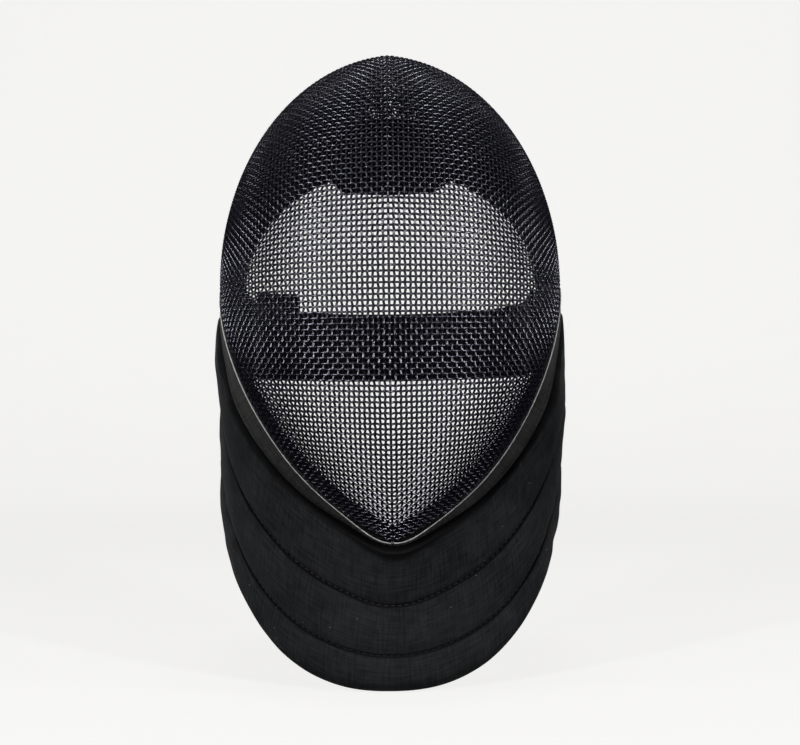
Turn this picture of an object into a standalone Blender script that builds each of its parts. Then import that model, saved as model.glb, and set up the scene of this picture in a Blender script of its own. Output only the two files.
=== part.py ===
"""A fencing mask: a creased dome of woven wire, a quilted throat bib, and the band, tongue and
strap that hold it on the head.

Frame: metres, +Z up, the face looks along -Y, +X is the viewer's right.  The origin is the head
seat, the spot inside the top of the crown where the wearer's head stops.  The ear axis runs
along X under it: the dome is drawn in polar form around that axis.
"""

from math import asin, atan2, cos, hypot, pi, radians, sin

import bmesh
import bpy
from mathutils import Vector

# ---------------------------------------------------------------- driving dimensions (metres)
EAR_DROP = 0.134            # the ear axis lies this far under the head seat
HALF_WIDTH = 0.0998         # the dome's half width at the ears, at the middle of its wall
MESH_WALL = 0.0020          # two crimped 1 mm wires
SEAT_GAP = 0.0003           # clearance between pieces that are sewn or clamped together
WELD = 0.00005              # points nearer than this are one point

# The dome, one row for each elevation around the ear axis: 0 looks forward, 90 up, 180 back.
#   elevation (degrees) | crease radius (metres) | fold: how sharply the two halves meet
DOME_ROWS = (
    (-90, 0.1680, 0.90),
    (-74, 0.1531, 0.92),
    (-55, 0.1354, 0.98),
    (-34, 0.1184, 1.05),
    (-10, 0.1071, 1.10),
    (4, 0.1060, 1.10),
    (30, 0.1104, 0.95),
    (54, 0.1224, 0.50),
    (75, 0.1340, 0.14),
    (90, 0.1360, 0.05),
    (123, 0.1360, 0.04),
    (180, 0.1360, 0.04),
)

# The dome's lower edge runs from the chin to the ears, and level from there to the back.
#   sweep (0 on the crease, 1 at the ear) | elevation (degrees)
EDGE_ROWS = (
    (0.00, -74.0),
    (0.31, -73.2),
    (0.46, -70.6),
    (0.65, -65.3),
    (0.80, -58.0),
    (1.00, -46.0),
)
EDGE_SKEW = 1.9             # degrees: it hangs a little lower on the +X side
# Its rear edge leans forward on the way down from the crown to the ears.
REAR_EDGE_BACK = 0.044      # how far behind the ear axis it ends
REAR_EDGE_LEAN = 0.263      # run for each metre of rise
REAR_CORNER = 0.788         # where along the sweep from crease to ear that corner lies

# Trim and linings
#   sweep | tape width (metres) | flare: how much the tape leans out from the dome's slope
TAPE_ROWS = (
    (0.00, 0.0095, 0.00),
    (0.30, 0.0135, 0.12),
    (0.58, 0.0150, 0.30),
    (0.74, 0.0140, 0.08),
    (0.88, 0.0125, 0.00),
    (1.00, 0.0115, 0.00),
)
TAPE_WALL = 0.0024
PIPING_RADIUS = 0.0007
LINING_WIDTH = 0.0120
LINING_WALL = 0.0015
LINING_LAST_RADIUS = 0.036  # the jaw lining stops this far from the ear axis

# Bib
BIB_FRONT = -0.051          # Y of the bottom edge at the middle
BIB_BOTTOM = -0.230         # its height there, from the ear axis
BIB_SIDE_Y = 0.037          # Y where the bib is widest
BIB_HALF_WIDTH = 0.1000
BIB_SHIFT = -0.0014         # how far the bottom edge hangs off the middle, in front
BIB_ROUNDNESS = 0.84        # under 1, the bottom edge is squarer than an ellipse
BIB_REAR = 0.084            # Y of the rear ends
BIB_REAR_HALF_WIDTH = 0.0925
BIB_REAR_LOW = -0.055       # height of the bottom edge at the rear ends, from the ear axis
BIB_SEAMS = (0.0, 0.39, 0.74, 1.0)   # quilting lines, as parts of the way down
BIB_SEAM_HALF = 0.0024      # outer half thickness at a quilting line
BIB_PUFF = 0.0034           # what the filling adds between two lines
BIB_INNER_HALF = 0.0030
BIB_HEM_HALF = 0.0014
BIB_PUFF_ROUNDNESS = 0.7    # under 1, a channel is flatter in the middle than a sine
BIB_FLAT_REAR = 0.75        # the share of the filling that is lost towards the rear ends
BIB_FLAT_POWER = 1.5        # over 1, it is lost mostly near those ends
HEM_ROUND_SHARE = 0.62      # the share of the bottom edge that goes round the throat

# Rear band, tongue, strap and its tab
BAND_EDGE_HALF_WIDTH = 0.0965
BAND_EDGE_RISE = 0.081      # height of its far edge over the ear axis
BAND_EDGE_BACK = 0.080
BAND_EDGE_BOW = 0.011
BAND_WALL = 0.0070
BAND_RIM = 0.62             # its thickness along both rims, as a part of the wall
BAND_SEAT = 0.0009
CROWN_RISE = 0.115          # height of the dome's rear edge over the ear axis
TONGUE_TOP = 0.45           # where it starts on the band, as a part of the band's width
TONGUE_BOTTOM = 1.40
TONGUE_ROUNDING = 0.20      # how much higher its bottom corners are
TONGUE_SWEEPS = (0.31, 0.215)  # half widths at the top and bottom, in sweep
TONGUE_WALL = 0.0050
STRAP_HALF_SPAN = 0.0874
STRAP_BOW = 0.042           # how far the strap reaches behind the bib's rear ends
STRAP_BOW_SHARE = 0.86      # the share of its length that goes round the head
STRAP_START = 0.056         # Y of its ends, inside the bib's rear ends
STRAP_WALL = 0.0025
STRAP_HEIGHTS = (-0.0335, -0.0255)   # middle of the strap at the back and at the ends
STRAP_WIDTHS = (0.045, 0.049)
TAB_SWEEP = (43.0, 76.0)    # degrees around the strap's bow
TAB_WALL = 0.0022
TAB_HEIGHTS = (-0.048, 0.003)

# How finely the sheets are divided
SWEEP_STEPS = 14            # from the crease to the rear corner
EAR_STEPS = 4               # from there to the ear
RISE_STEPS = 30             # from the lower edge to the rear edge
REAR_STEPS = 4              # along the level edge, from the ear to the rear corner
CHANNEL_STEPS = 4           # down each quilted channel
BAND_STEPS = 4              # across the band
TONGUE_STEPS = (10, 6)
STRAP_STEPS = 36
TAB_STEPS = 8
SLOPE_STEP = 0.002          # how far apart two points are taken to read a slope


# ---------------------------------------------------------------- small tools
def from_rows(rows, column, at):
    """Read one column of a table of rows at any place, smoothly."""
    last = len(rows) - 1
    here = 0
    while here < last - 1 and at > rows[here + 1][0]:
        here += 1

    def slope(i):
        low, high = max(i - 1, 0), min(i + 1, last)
        return (rows[high][column] - rows[low][column]) / (rows[high][0] - rows[low][0])

    span = rows[here + 1][0] - rows[here][0]
    t = min(max((at - rows[here][0]) / span, 0.0), 1.0)
    start, end = rows[here][column], rows[here + 1][column]
    start_pull, end_pull = slope(here) * span, slope(here + 1) * span
    return (start * (2 * t**3 - 3 * t**2 + 1) + start_pull * (t**3 - 2 * t**2 + t)
            + end * (3 * t**2 - 2 * t**3) + end_pull * (t**3 - t**2))


def mix(start, end, part):
    return start + (end - start) * part


def above_ears(x, y, rise):
    """A point given by its height over the ear axis."""
    return Vector((x, y, rise - EAR_DROP))


# ---------------------------------------------------------------- the dome
def dome(elevation, sweep):
    """A point in the middle of the wall.  sweep is 0 on the crease and -1 or 1 at the ears."""
    fold = from_rows(DOME_ROWS, 2, elevation)
    crease = asin(fold / (1 + fold))
    turn = mix(crease, pi / 2, abs(sweep))
    out = HALF_WIDTH * ((1 + fold) * sin(turn) - fold)
    radius = from_rows(DOME_ROWS, 1, elevation) * cos(turn) / cos(crease)
    tilt = radians(elevation)
    return above_ears(out if sweep >= 0 else -out, -radius * cos(tilt), radius * sin(tilt))


def dome_outward(elevation, sweep):
    if abs(sweep) > 1 - SLOPE_STEP:
        return Vector((1 if sweep > 0 else -1, 0, 0))
    upward = dome(elevation + SLOPE_STEP, sweep) - dome(elevation - SLOPE_STEP, sweep)
    sideways = dome(elevation, sweep + SLOPE_STEP) - dome(elevation, sweep - SLOPE_STEP)
    return sideways.cross(upward).normalized()


def lower_elevation(sweep):
    return from_rows(EDGE_ROWS, 1, abs(sweep)) - EDGE_SKEW * sin(pi * sweep)


def rear_elevation(sweep):
    """Where the dome, at this sweep, meets its leaning rear edge."""
    low, high = 90.0, 180.0
    for _ in range(40):
        middle = (low + high) / 2
        point = dome(middle, sweep)
        if point.y < REAR_EDGE_BACK + REAR_EDGE_LEAN * (point.z + EAR_DROP):
            low = middle
        else:
            high = middle
    return high


def half_sweeps():
    """From the crease to the ear, with one station on the rear corner."""
    front = [REAR_CORNER * i / SWEEP_STEPS for i in range(SWEEP_STEPS)]
    ear = [mix(REAR_CORNER, 1.0, i / EAR_STEPS) for i in range(EAR_STEPS + 1)]
    return front + ear


def whole_sweeps():
    half = half_sweeps()
    return [-s for s in reversed(half[1:])] + half


# ---------------------------------------------------------------- sheets and walls
def wall(name, columns, rows, outer, inner, material):
    """A closed wall between two sheets.  outer and inner give the point at a column and a row."""
    bm = bmesh.new()
    borders = []
    for sheet in (outer, inner):
        made = bmesh.ops.create_grid(bm, x_segments=columns, y_segments=rows, size=1.0)
        verts = made["verts"]
        for vert in verts:
            column = round((vert.co.x + 1) / 2 * columns)
            row = round((vert.co.y + 1) / 2 * rows)
            vert.co = sheet(column, row)
        edges = {edge for vert in verts for edge in vert.link_edges}
        borders += [edge for edge in edges if edge.is_boundary]
    bmesh.ops.bridge_loops(bm, edges=borders)
    bmesh.ops.remove_doubles(bm, verts=bm.verts, dist=WELD)
    bmesh.ops.recalc_face_normals(bm, faces=bm.faces)
    return finished(name, bm, material)


def finished(name, bm, material):
    mesh = bpy.data.meshes.new(name)
    bm.to_mesh(mesh)
    bm.free()
    mesh.materials.append(material)
    mesh.shade_smooth()
    mesh.set_sharp_from_angle(angle=radians(40))
    piece = bpy.data.objects.new(name, mesh)
    bpy.context.scene.collection.objects.link(piece)
    return piece


def finish(name, colour, roughness, metallic=0.0):
    material = bpy.data.materials.new(name)
    material.use_nodes = True
    shader = material.node_tree.nodes["Principled BSDF"]
    shader.inputs["Base Color"].default_value = (*colour, 1.0)
    shader.inputs["Roughness"].default_value = roughness
    shader.inputs["Metallic"].default_value = metallic
    return material


# ---------------------------------------------------------------- wire dome
def make_wire_dome():
    sweeps = whole_sweeps()

    def at(column, row, offset):
        sweep = sweeps[column]
        elevation = mix(lower_elevation(sweep), rear_elevation(sweep), row / RISE_STEPS)
        return dome(elevation, sweep) + dome_outward(elevation, sweep) * offset

    wall("wire_dome", len(sweeps) - 1, RISE_STEPS,
         lambda column, row: at(column, row, MESH_WALL / 2),
         lambda column, row: at(column, row, -MESH_WALL / 2),
         finish("black wire", (0.012, 0.012, 0.018), 0.35, 0.6))


# ---------------------------------------------------------------- the edge that tape and bib follow
def rear_leg_x(y):
    """Half width along the level stretch of the edge, behind the ears."""
    corner = dome(180.0, REAR_CORNER).x
    if y <= REAR_EDGE_BACK:
        return mix(HALF_WIDTH, corner, (y / REAR_EDGE_BACK) ** 2)
    return mix(corner, BIB_REAR_HALF_WIDTH, (y - REAR_EDGE_BACK) / (BIB_REAR - REAR_EDGE_BACK))


def side_edge(side):
    """Stations from the chin to one rear end: (point, outward, away from the dome, tape width)."""
    sweeps = [side * sweep for sweep in half_sweeps()]
    points = [dome(lower_elevation(sweep), sweep) for sweep in sweeps]
    across_chin = dome(lower_elevation(-sweeps[1]), -sweeps[1])
    stations = []
    for i, sweep in enumerate(sweeps):
        outward = dome_outward(lower_elevation(sweep), sweep)
        before = points[i - 1] if i else across_chin
        after = points[i + 1] if i + 1 < len(points) else 2 * points[i] - points[i - 1]
        along = (after - before) * side
        flare = from_rows(TAPE_ROWS, 2, abs(sweep))
        away = (along.cross(outward).normalized() + outward * flare).normalized()
        outward = (outward - away * outward.dot(away)).normalized()
        stations.append((points[i], outward, away, from_rows(TAPE_ROWS, 1, abs(sweep))))
    # The tape turns at the ear with a mitre, from the dome's slope to the level stretch.
    sideways, down, rear_width = Vector((side, 0, 0)), Vector((0, 0, -1)), TAPE_ROWS[-1][1]
    slanting = stations[-1][2]
    mitre = (slanting + down).normalized()
    stations[-1] = (points[-1], sideways, mitre, rear_width / mitre.dot(down))
    behind = [REAR_EDGE_BACK * i / REAR_STEPS for i in range(1, REAR_STEPS + 1)]
    for y in behind + [(REAR_EDGE_BACK + BIB_REAR) / 2, BIB_REAR]:
        point = above_ears(side * rear_leg_x(y), y, 0)
        stations.append((point, sideways, down, rear_width))
    return stations


def whole_edge():
    return list(reversed(side_edge(-1)[1:])) + side_edge(1)


def make_edge_tape():
    stations = whole_edge()

    def at(column, row, offset):
        point, outward, away, width = stations[column]
        return point + away * (SEAT_GAP + width * row / 2) + outward * offset

    wall("edge_tape", len(stations) - 1, 2,
         lambda column, row: at(column, row, TAPE_WALL / 2),
         lambda column, row: at(column, row, -TAPE_WALL / 2),
         finish("black tape", (0.014, 0.014, 0.015), 0.8))


def make_edge_piping():
    lift = TAPE_WALL / 2 + SEAT_GAP + PIPING_RADIUS
    route = []
    for point, outward, away, width in whole_edge():
        place = point + outward * lift
        clear_of_band = point.y < REAR_EDGE_BACK - WELD
        if clear_of_band and (not route or (place - route[-1]).length > 10 * WELD):
            route.append(place)
    curve = bpy.data.curves.new("edge_piping", "CURVE")
    curve.dimensions = "3D"
    curve.bevel_depth = PIPING_RADIUS
    curve.bevel_resolution = 1
    curve.use_fill_caps = True
    spline = curve.splines.new("POLY")
    spline.points.add(len(route) - 1)
    for spot, place in zip(spline.points, route):
        spot.co = (*place, 1)
    curve.materials.append(finish("grey piping", (0.28, 0.28, 0.27), 0.7))
    piece = bpy.data.objects.new("edge_piping", curve)
    bpy.context.scene.collection.objects.link(piece)


def make_jaw_lining():
    """The strip inside the dome's lower edge, seen dark through the wire."""
    sweeps = [s for s in whole_sweeps()
              if (dome(lower_elevation(s), s) - above_ears(dome(0, s).x, 0, 0)).length
              > LINING_LAST_RADIUS]

    def at(column, row, offset):
        sweep = sweeps[column]
        low = lower_elevation(sweep)
        edge = dome(low, sweep)
        radius = hypot(edge.y, edge.z + EAR_DROP)
        elevation = low + LINING_WIDTH / radius * 180 / pi * row / 2
        return dome(elevation, sweep) + dome_outward(elevation, sweep) * offset

    near = -MESH_WALL / 2 - SEAT_GAP
    wall("jaw_lining", len(sweeps) - 1, 2,
         lambda column, row: at(column, row, near),
         lambda column, row: at(column, row, near - LINING_WALL),
         finish("black lining", (0.016, 0.016, 0.017), 0.85))


# ---------------------------------------------------------------- bib
def bib_hem(part, side):
    """The bottom edge from the middle (0) to a rear end (1), cut straight in the side view."""
    if part <= HEM_ROUND_SHARE:
        angle = pi / 2 * part / HEM_ROUND_SHARE
        x = BIB_HALF_WIDTH * sin(angle) ** BIB_ROUNDNESS
        y = mix(BIB_SIDE_Y, BIB_FRONT, cos(angle))
    else:
        back = (part - HEM_ROUND_SHARE) / (1 - HEM_ROUND_SHARE)
        x = mix(BIB_HALF_WIDTH, BIB_REAR_HALF_WIDTH, back ** 2)
        y = mix(BIB_SIDE_Y, BIB_REAR, back)
    rise = mix(BIB_BOTTOM, BIB_REAR_LOW, (y - BIB_FRONT) / (BIB_REAR - BIB_FRONT))
    return above_ears(side * x + BIB_SHIFT * (1 - part ** 4), y, rise)


def make_bib():
    stations = whole_edge()
    last = len(stations) // 2               # the middle station is on the chin
    tops = [point + away * (2 * SEAT_GAP + width) for point, outward, away, width in stations]
    parts = [0.0] * len(tops)
    for side in (-1, 1):
        for i in range(1, last + 1):
            here = last + side * i
            parts[here] = parts[here - side] + (tops[here] - tops[here - side]).length
        whole = parts[last + side * last]
        for i in range(1, last + 1):
            parts[last + side * i] /= whole
    hems = [bib_hem(part, 1 if i >= last else -1) for i, part in enumerate(parts)]
    rows = CHANNEL_STEPS * (len(BIB_SEAMS) - 1)

    def middle(column, row):
        channel, step = divmod(row, CHANNEL_STEPS)
        down = BIB_SEAMS[channel]
        if step:
            down = mix(down, BIB_SEAMS[channel + 1], step / CHANNEL_STEPS)
        return tops[column].lerp(hems[column], down)

    def outward_at(column, row):
        if row == 0:                # the top meets the tape end to end
            return stations[column][1]
        left, right = max(column - 1, 0), min(column + 1, 2 * last)
        up, down = max(row - 1, 0), min(row + 1, rows)
        along = middle(right, row) - middle(left, row)
        downward = middle(column, down) - middle(column, up)
        return downward.cross(along).normalized()

    def outer(column, row):
        step = row % CHANNEL_STEPS
        puff = BIB_PUFF * (1 - BIB_FLAT_REAR * parts[column] ** BIB_FLAT_POWER)
        half_wall = BIB_SEAM_HALF + puff * sin(pi * step / CHANNEL_STEPS) ** BIB_PUFF_ROUNDNESS
        if row == rows:
            half_wall = BIB_HEM_HALF
        return middle(column, row) + outward_at(column, row) * half_wall

    def inner(column, row):
        half_wall = BIB_HEM_HALF if row == rows else BIB_INNER_HALF
        return middle(column, row) - outward_at(column, row) * half_wall

    wall("bib", 2 * last, rows, outer, inner, finish("black cotton", (0.016, 0.017, 0.018), 0.9))


# ---------------------------------------------------------------- rear band and tongue
def band_middle(sweep, part):
    """From the dome's rear edge (0) to the band's far edge (1)."""
    start = dome(rear_elevation(sweep), sweep)
    corner = dome(180.0, REAR_CORNER).x
    around = atan2(start.x / corner, (start.z + EAR_DROP) / CROWN_RISE)
    end = above_ears(BAND_EDGE_HALF_WIDTH * sin(around),
                     BAND_EDGE_BACK + BAND_EDGE_BOW * cos(around),
                     BAND_EDGE_RISE * cos(around))
    along = end - start
    first = start + along.normalized() * BAND_SEAT
    return first.lerp(end, part)


def band_outward(sweep, part):
    sweep = max(min(sweep, REAR_CORNER - SLOPE_STEP), SLOPE_STEP - REAR_CORNER)
    along = band_middle(sweep + SLOPE_STEP, part) - band_middle(sweep - SLOPE_STEP, part)
    across = band_middle(sweep, part + SLOPE_STEP) - band_middle(sweep, part - SLOPE_STEP)
    return along.cross(across).normalized()


def make_rear_band():
    sweeps = [s for s in whole_sweeps() if abs(s) < REAR_CORNER + WELD]

    def at(column, row, side):
        part = row / BAND_STEPS
        half_wall = BAND_WALL / 2 * (BAND_RIM if row in (0, BAND_STEPS) else 1.0)
        point = band_middle(sweeps[column], part)
        outward = band_outward(sweeps[column], part)
        if column in (0, len(sweeps) - 1):      # the ends stand flat on the tape
            point.z = SEAT_GAP - EAR_DROP
            outward = (outward * Vector((1, 1, 0))).normalized()
        return point + outward * half_wall * side

    wall("rear_band", len(sweeps) - 1, BAND_STEPS,
         lambda column, row: at(column, row, 1),
         lambda column, row: at(column, row, -1),
         finish("black padding", (0.013, 0.013, 0.014), 0.88))


def make_tongue():
    columns, rows = TONGUE_STEPS
    inside = -(BAND_WALL / 2 + SEAT_GAP)

    def at(column, row, offset):
        across = 2 * column / columns - 1
        down = row / rows
        half = mix(*TONGUE_SWEEPS, down)
        part = mix(TONGUE_TOP, TONGUE_BOTTOM - TONGUE_ROUNDING * across ** 2, down)
        return band_middle(across * half, part) + band_outward(across * half, part) * offset

    wall("tongue", columns, rows,
         lambda column, row: at(column, row, inside),
         lambda column, row: at(column, row, inside - TONGUE_WALL),
         finish("black tongue cloth", (0.015, 0.015, 0.016), 0.85))


# ---------------------------------------------------------------- strap
def strap_path(part):
    """The strap's middle line, seen from above, from the left end (0) to the right end (1)."""
    straight = BIB_REAR - STRAP_START
    side = 2 * part - 1
    if abs(side) <= STRAP_BOW_SHARE:
        angle = pi / 2 * side / STRAP_BOW_SHARE
        x, y = STRAP_HALF_SPAN * sin(angle), BIB_REAR + STRAP_BOW * cos(angle)
    else:
        x = STRAP_HALF_SPAN if side > 0 else -STRAP_HALF_SPAN
        y = BIB_REAR - straight * (abs(side) - STRAP_BOW_SHARE) / (1 - STRAP_BOW_SHARE)
    rise = mix(*STRAP_HEIGHTS, side ** 2)
    return above_ears(x, y, rise)


def strap_outward(part):
    part = min(max(part, SLOPE_STEP), 1 - SLOPE_STEP)
    along = strap_path(part + SLOPE_STEP) - strap_path(part - SLOPE_STEP)
    along.z = 0
    return Vector((0, 0, 1)).cross(along).normalized()


def make_back_strap():
    def at(column, row, offset):
        part = column / STRAP_STEPS
        width = mix(*STRAP_WIDTHS, (2 * part - 1) ** 2)
        lift = Vector((0, 0, width * (row / 2 - 0.5)))
        return strap_path(part) + lift + strap_outward(part) * offset

    wall("back_strap", STRAP_STEPS, 2,
         lambda column, row: at(column, row, STRAP_WALL / 2),
         lambda column, row: at(column, row, -STRAP_WALL / 2),
         finish("black webbing", (0.02, 0.02, 0.022), 0.8))


def make_strap_tab():
    """The strap's folded-back end, on the wearer's right."""
    near = STRAP_WALL / 2 + SEAT_GAP
    first, last = ((1 - STRAP_BOW_SHARE * sweep / 90) / 2 for sweep in reversed(TAB_SWEEP))

    def at(column, row, offset):
        part = mix(first, last, column / TAB_STEPS)
        point = strap_path(part)
        point.z = mix(*TAB_HEIGHTS, row / 2) - EAR_DROP
        return point + strap_outward(part) * offset

    wall("strap_tab", TAB_STEPS, 2,
         lambda column, row: at(column, row, near + TAB_WALL),
         lambda column, row: at(column, row, near),
         finish("black tab", (0.018, 0.018, 0.02), 0.8))


# ---------------------------------------------------------------- the whole mask
for old in list(bpy.data.objects):
    bpy.data.objects.remove(old)

make_wire_dome()
make_edge_tape()
make_edge_piping()
make_jaw_lining()
make_bib()
make_rear_band()
make_tongue()
make_back_strap()
make_strap_tab()
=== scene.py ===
# %% [markdown]
# # A fencing mask, dressed
#
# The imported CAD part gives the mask's true size and its nine pieces as plain solids.  This
# notebook keeps that frame and puts the real surfaces on it: a dome that is really woven from
# wire, tape folded over its cut edge, a quilted bib, and the band, tongue and strap that hold
# the mask on the head.
#
# Everything is in metres.  +Z is up, the face looks along -Y, +X is the viewer's right.  The
# origin is the head seat, inside the top of the crown.

# %% Load the frame
from math import cos, pi, radians, sin

import bmesh
import bpy
import numpy as np
from mathutils import Matrix, Vector, noise
from mathutils.bvhtree import BVHTree


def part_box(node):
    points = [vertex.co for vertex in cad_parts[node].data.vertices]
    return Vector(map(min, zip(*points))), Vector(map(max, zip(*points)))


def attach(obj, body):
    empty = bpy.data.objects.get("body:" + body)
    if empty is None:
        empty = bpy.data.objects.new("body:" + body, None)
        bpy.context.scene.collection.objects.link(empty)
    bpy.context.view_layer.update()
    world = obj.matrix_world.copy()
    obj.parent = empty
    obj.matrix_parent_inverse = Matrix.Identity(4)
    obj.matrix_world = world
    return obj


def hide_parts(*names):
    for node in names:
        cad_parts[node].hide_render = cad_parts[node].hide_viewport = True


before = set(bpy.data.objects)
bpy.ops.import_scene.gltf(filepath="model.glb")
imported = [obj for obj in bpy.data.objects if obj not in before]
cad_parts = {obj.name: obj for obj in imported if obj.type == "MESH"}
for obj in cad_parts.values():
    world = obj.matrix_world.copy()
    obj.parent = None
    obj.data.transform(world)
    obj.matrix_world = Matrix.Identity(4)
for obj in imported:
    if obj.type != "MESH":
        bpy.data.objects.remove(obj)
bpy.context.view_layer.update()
print("CAD nodes:", ", ".join(sorted(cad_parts)))

# %% [markdown]
# ## The dome's shape
#
# A mask's dome is one sheet of woven wire, pressed over a form.  The form is easy to say in
# polar terms: go round the axis through both ears, and for each elevation note how far away
# the crease is and how sharply the two halves of the face meet there.  Between crease and ear
# each half is a piece of an ellipse.  The CAD uses the same short table, so the wires below
# lie exactly where its wall is.

# %% Driving dimensions of the dome
EAR_DROP = 0.134            # the ear axis lies this far under the head seat
HALF_WIDTH = 0.0998         # half width at the ears

#   elevation (degrees) | crease radius (metres) | fold: how sharply the two halves meet
DOME_ROWS = np.array((
    (-90, 0.1680, 0.90),
    (-74, 0.1531, 0.92),
    (-55, 0.1354, 0.98),
    (-34, 0.1184, 1.05),
    (-10, 0.1071, 1.10),
    (4, 0.1060, 1.10),
    (30, 0.1104, 0.95),
    (54, 0.1224, 0.50),
    (75, 0.1340, 0.14),
    (90, 0.1360, 0.05),
    (123, 0.1360, 0.04),
    (180, 0.1360, 0.04),
))

#   sweep (0 on the crease, 1 at the ear) | elevation (degrees) of the lower edge
EDGE_ROWS = np.array((
    (0.00, -74.0),
    (0.31, -73.2),
    (0.46, -70.6),
    (0.65, -65.3),
    (0.80, -58.0),
    (1.00, -46.0),
))
EDGE_SKEW = 1.9             # degrees: it hangs a little lower on the +X side
REAR_EDGE_BACK = 0.044      # the rear edge's distance behind the ear axis, at the ears
REAR_EDGE_LEAN = 0.263      # and its run for each metre of rise
REAR_CORNER = 0.788         # the sweep where the rear edge meets the level edge


# %% Reading a table smoothly, at many places at once
def from_rows(rows, column, at):
    """Cubic steps between the rows of a table, with no overshoot at its ends."""
    at = np.asarray(at, dtype=float)
    places, values = rows[:, 0], rows[:, column]
    last = len(rows) - 1
    low = np.maximum(np.arange(last + 1) - 1, 0)
    high = np.minimum(np.arange(last + 1) + 1, last)
    slopes = (values[high] - values[low]) / (places[high] - places[low])
    here = np.clip(np.searchsorted(places, at, side="right") - 1, 0, last - 1)
    span = places[here + 1] - places[here]
    t = np.clip((at - places[here]) / span, 0, 1)
    return (values[here] * (2 * t**3 - 3 * t**2 + 1)
            + slopes[here] * span * (t**3 - 2 * t**2 + t)
            + values[here + 1] * (3 * t**2 - 2 * t**3)
            + slopes[here + 1] * span * (t**3 - t**2))


def fold_and_crease(elevation):
    """How sharply the halves meet, and the angle on their ellipses at which they do."""
    fold = from_rows(DOME_ROWS, 2, elevation)
    return fold, np.arcsin(fold / (1 + fold))


def dome_point(elevation, sweep):
    """Points in the middle of the wire sheet.  The last axis of the result is x, y, z."""
    elevation, sweep = np.broadcast_arrays(np.asarray(elevation, float), np.asarray(sweep, float))
    fold, crease = fold_and_crease(elevation)
    turn = crease + (pi / 2 - crease) * np.abs(sweep)
    out = HALF_WIDTH * ((1 + fold) * np.sin(turn) - fold) * np.where(sweep < 0, -1, 1)
    radius = from_rows(DOME_ROWS, 1, elevation) * np.cos(turn) / np.cos(crease)
    tilt = np.radians(elevation)
    return np.stack([out, -radius * np.cos(tilt), radius * np.sin(tilt) - EAR_DROP], axis=-1)


def polar(points):
    """Elevation in degrees, from -90 under the chin over the crown to 270, and radius."""
    y, rise = points[..., 1], points[..., 2] + EAR_DROP
    elevation = np.degrees(np.arctan2(rise, -y))
    return np.where(elevation < -91, elevation + 360, elevation), np.hypot(y, rise)


def dome_level(points):
    """0 on the dome, over 0 outside it: the same shape as dome_point, as one equation."""
    elevation, radius = polar(points)
    fold = from_rows(DOME_ROWS, 2, elevation)
    crease_radius = from_rows(DOME_ROWS, 1, elevation)
    across = np.abs(points[..., 0]) / HALF_WIDTH + fold
    return (across**2 + (1 + 2 * fold) * (radius / crease_radius)**2) / (1 + fold)**2 - 1


def dome_slope(points, step=1e-5):
    """The gradient of dome_level, which points straight out of the dome."""
    parts = [dome_level(points + step * axis) - dome_level(points - step * axis)
             for axis in np.eye(3)]
    return np.stack(parts, axis=-1) / (2 * step)


def unit(vectors):
    return vectors / np.linalg.norm(vectors, axis=-1, keepdims=True)


def run_along(points):
    """The distance along a line of points, from its first point to each."""
    steps = np.linalg.norm(np.diff(points, axis=0), axis=-1)
    return np.concatenate([[0], np.cumsum(steps)])


def ease(t):
    """From 0 to 1 with a soft start and a soft end."""
    t = np.clip(t, 0, 1)
    return t * t * (3 - 2 * t)


print("crease radius straight ahead:", round(float(-dome_point(0, 0)[1]) * 1000, 1), "mm")

# %% [markdown]
# ## The weave
#
# The mesh is a plain weave of 1 mm wire, about 3.1 mm from wire to wire.  When a flat piece of
# it is pressed over a form the wires hardly stretch.  The square openings turn into diamonds
# instead, which is why the rows climb to the crease above the eyes and drop under it at the
# chin.  A net whose cells keep all four sides the same length while their corners turn is
# called a Chebyshev net, and it can be laid out the way a tiler works: fix the crease wire and
# one level row, then put each new crossing one pitch away from the two neighbours it already
# has.  A bump map could fake the weave, but only real wires let the light and the far side
# show through the gaps, so every wire here is a solid.
#
# Behind the temples a pure net would close up completely.  There the press lets the wires
# slide together a little, so the pitch shrinks smoothly towards the back of the crown.

# %% Weave dimensions
PITCH = 0.0031
WIRE_RADIUS = 0.00070       # 1 mm wire and its thick coat of enamel
LEVEL_ROW_RISE = -0.0335    # where the one level row crosses the crease, from the ear axis
LEVEL_ROW_TILT = 0.018      # its run upwards for each metre to the back
CREASE_AHEAD = 0.1075       # the crease's distance from the ear axis, near the level row
CREASE_UP, CREASE_DOWN = 178, 80    # degrees of the crease that are laid out each way
ROWS_UP, ROWS_DOWN, COLUMNS = 140, 62, 76
OVERHANG = 0.012            # the net runs on this far past the edges, and is trimmed later
LEAST_BACK = 0.046          # low down it still reaches this far behind the ear axis

#   share of the pitch lost | first row | rows to full | first column | columns to full
ROW_SHRINK = (0.57, 42, 50, 14, 20)
COLUMN_SHRINK = (0.70, 2, 20, 10, 65)


def shrunk_pitch(shrink, row, column):
    share, row_from, row_span, column_from, column_span = shrink
    return PITCH * (1 - share * ease((row - row_from) / row_span)
                    * ease((column - column_from) / column_span))


print("a square opening is", round((PITCH - 2 * WIRE_RADIUS) * 1000, 1), "mm wide")

# %% Placing one crossing from its two neighbours
LEVEL_WEIGHT = 0.05         # metres for one unit of dome_level, so that all three misses compare
CROSSING_STEPS, ROW_STEPS = 10, 12


def step_to(points, misses, slopes):
    """One Newton step of many small 3 x 3 systems, held to half a pitch."""
    move = -np.linalg.solve(slopes, misses[..., None])[..., 0]
    length = np.linalg.norm(move, axis=-1, keepdims=True)
    return points + move * np.minimum(1, 0.5 * PITCH / np.maximum(length, 1e-12))


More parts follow.
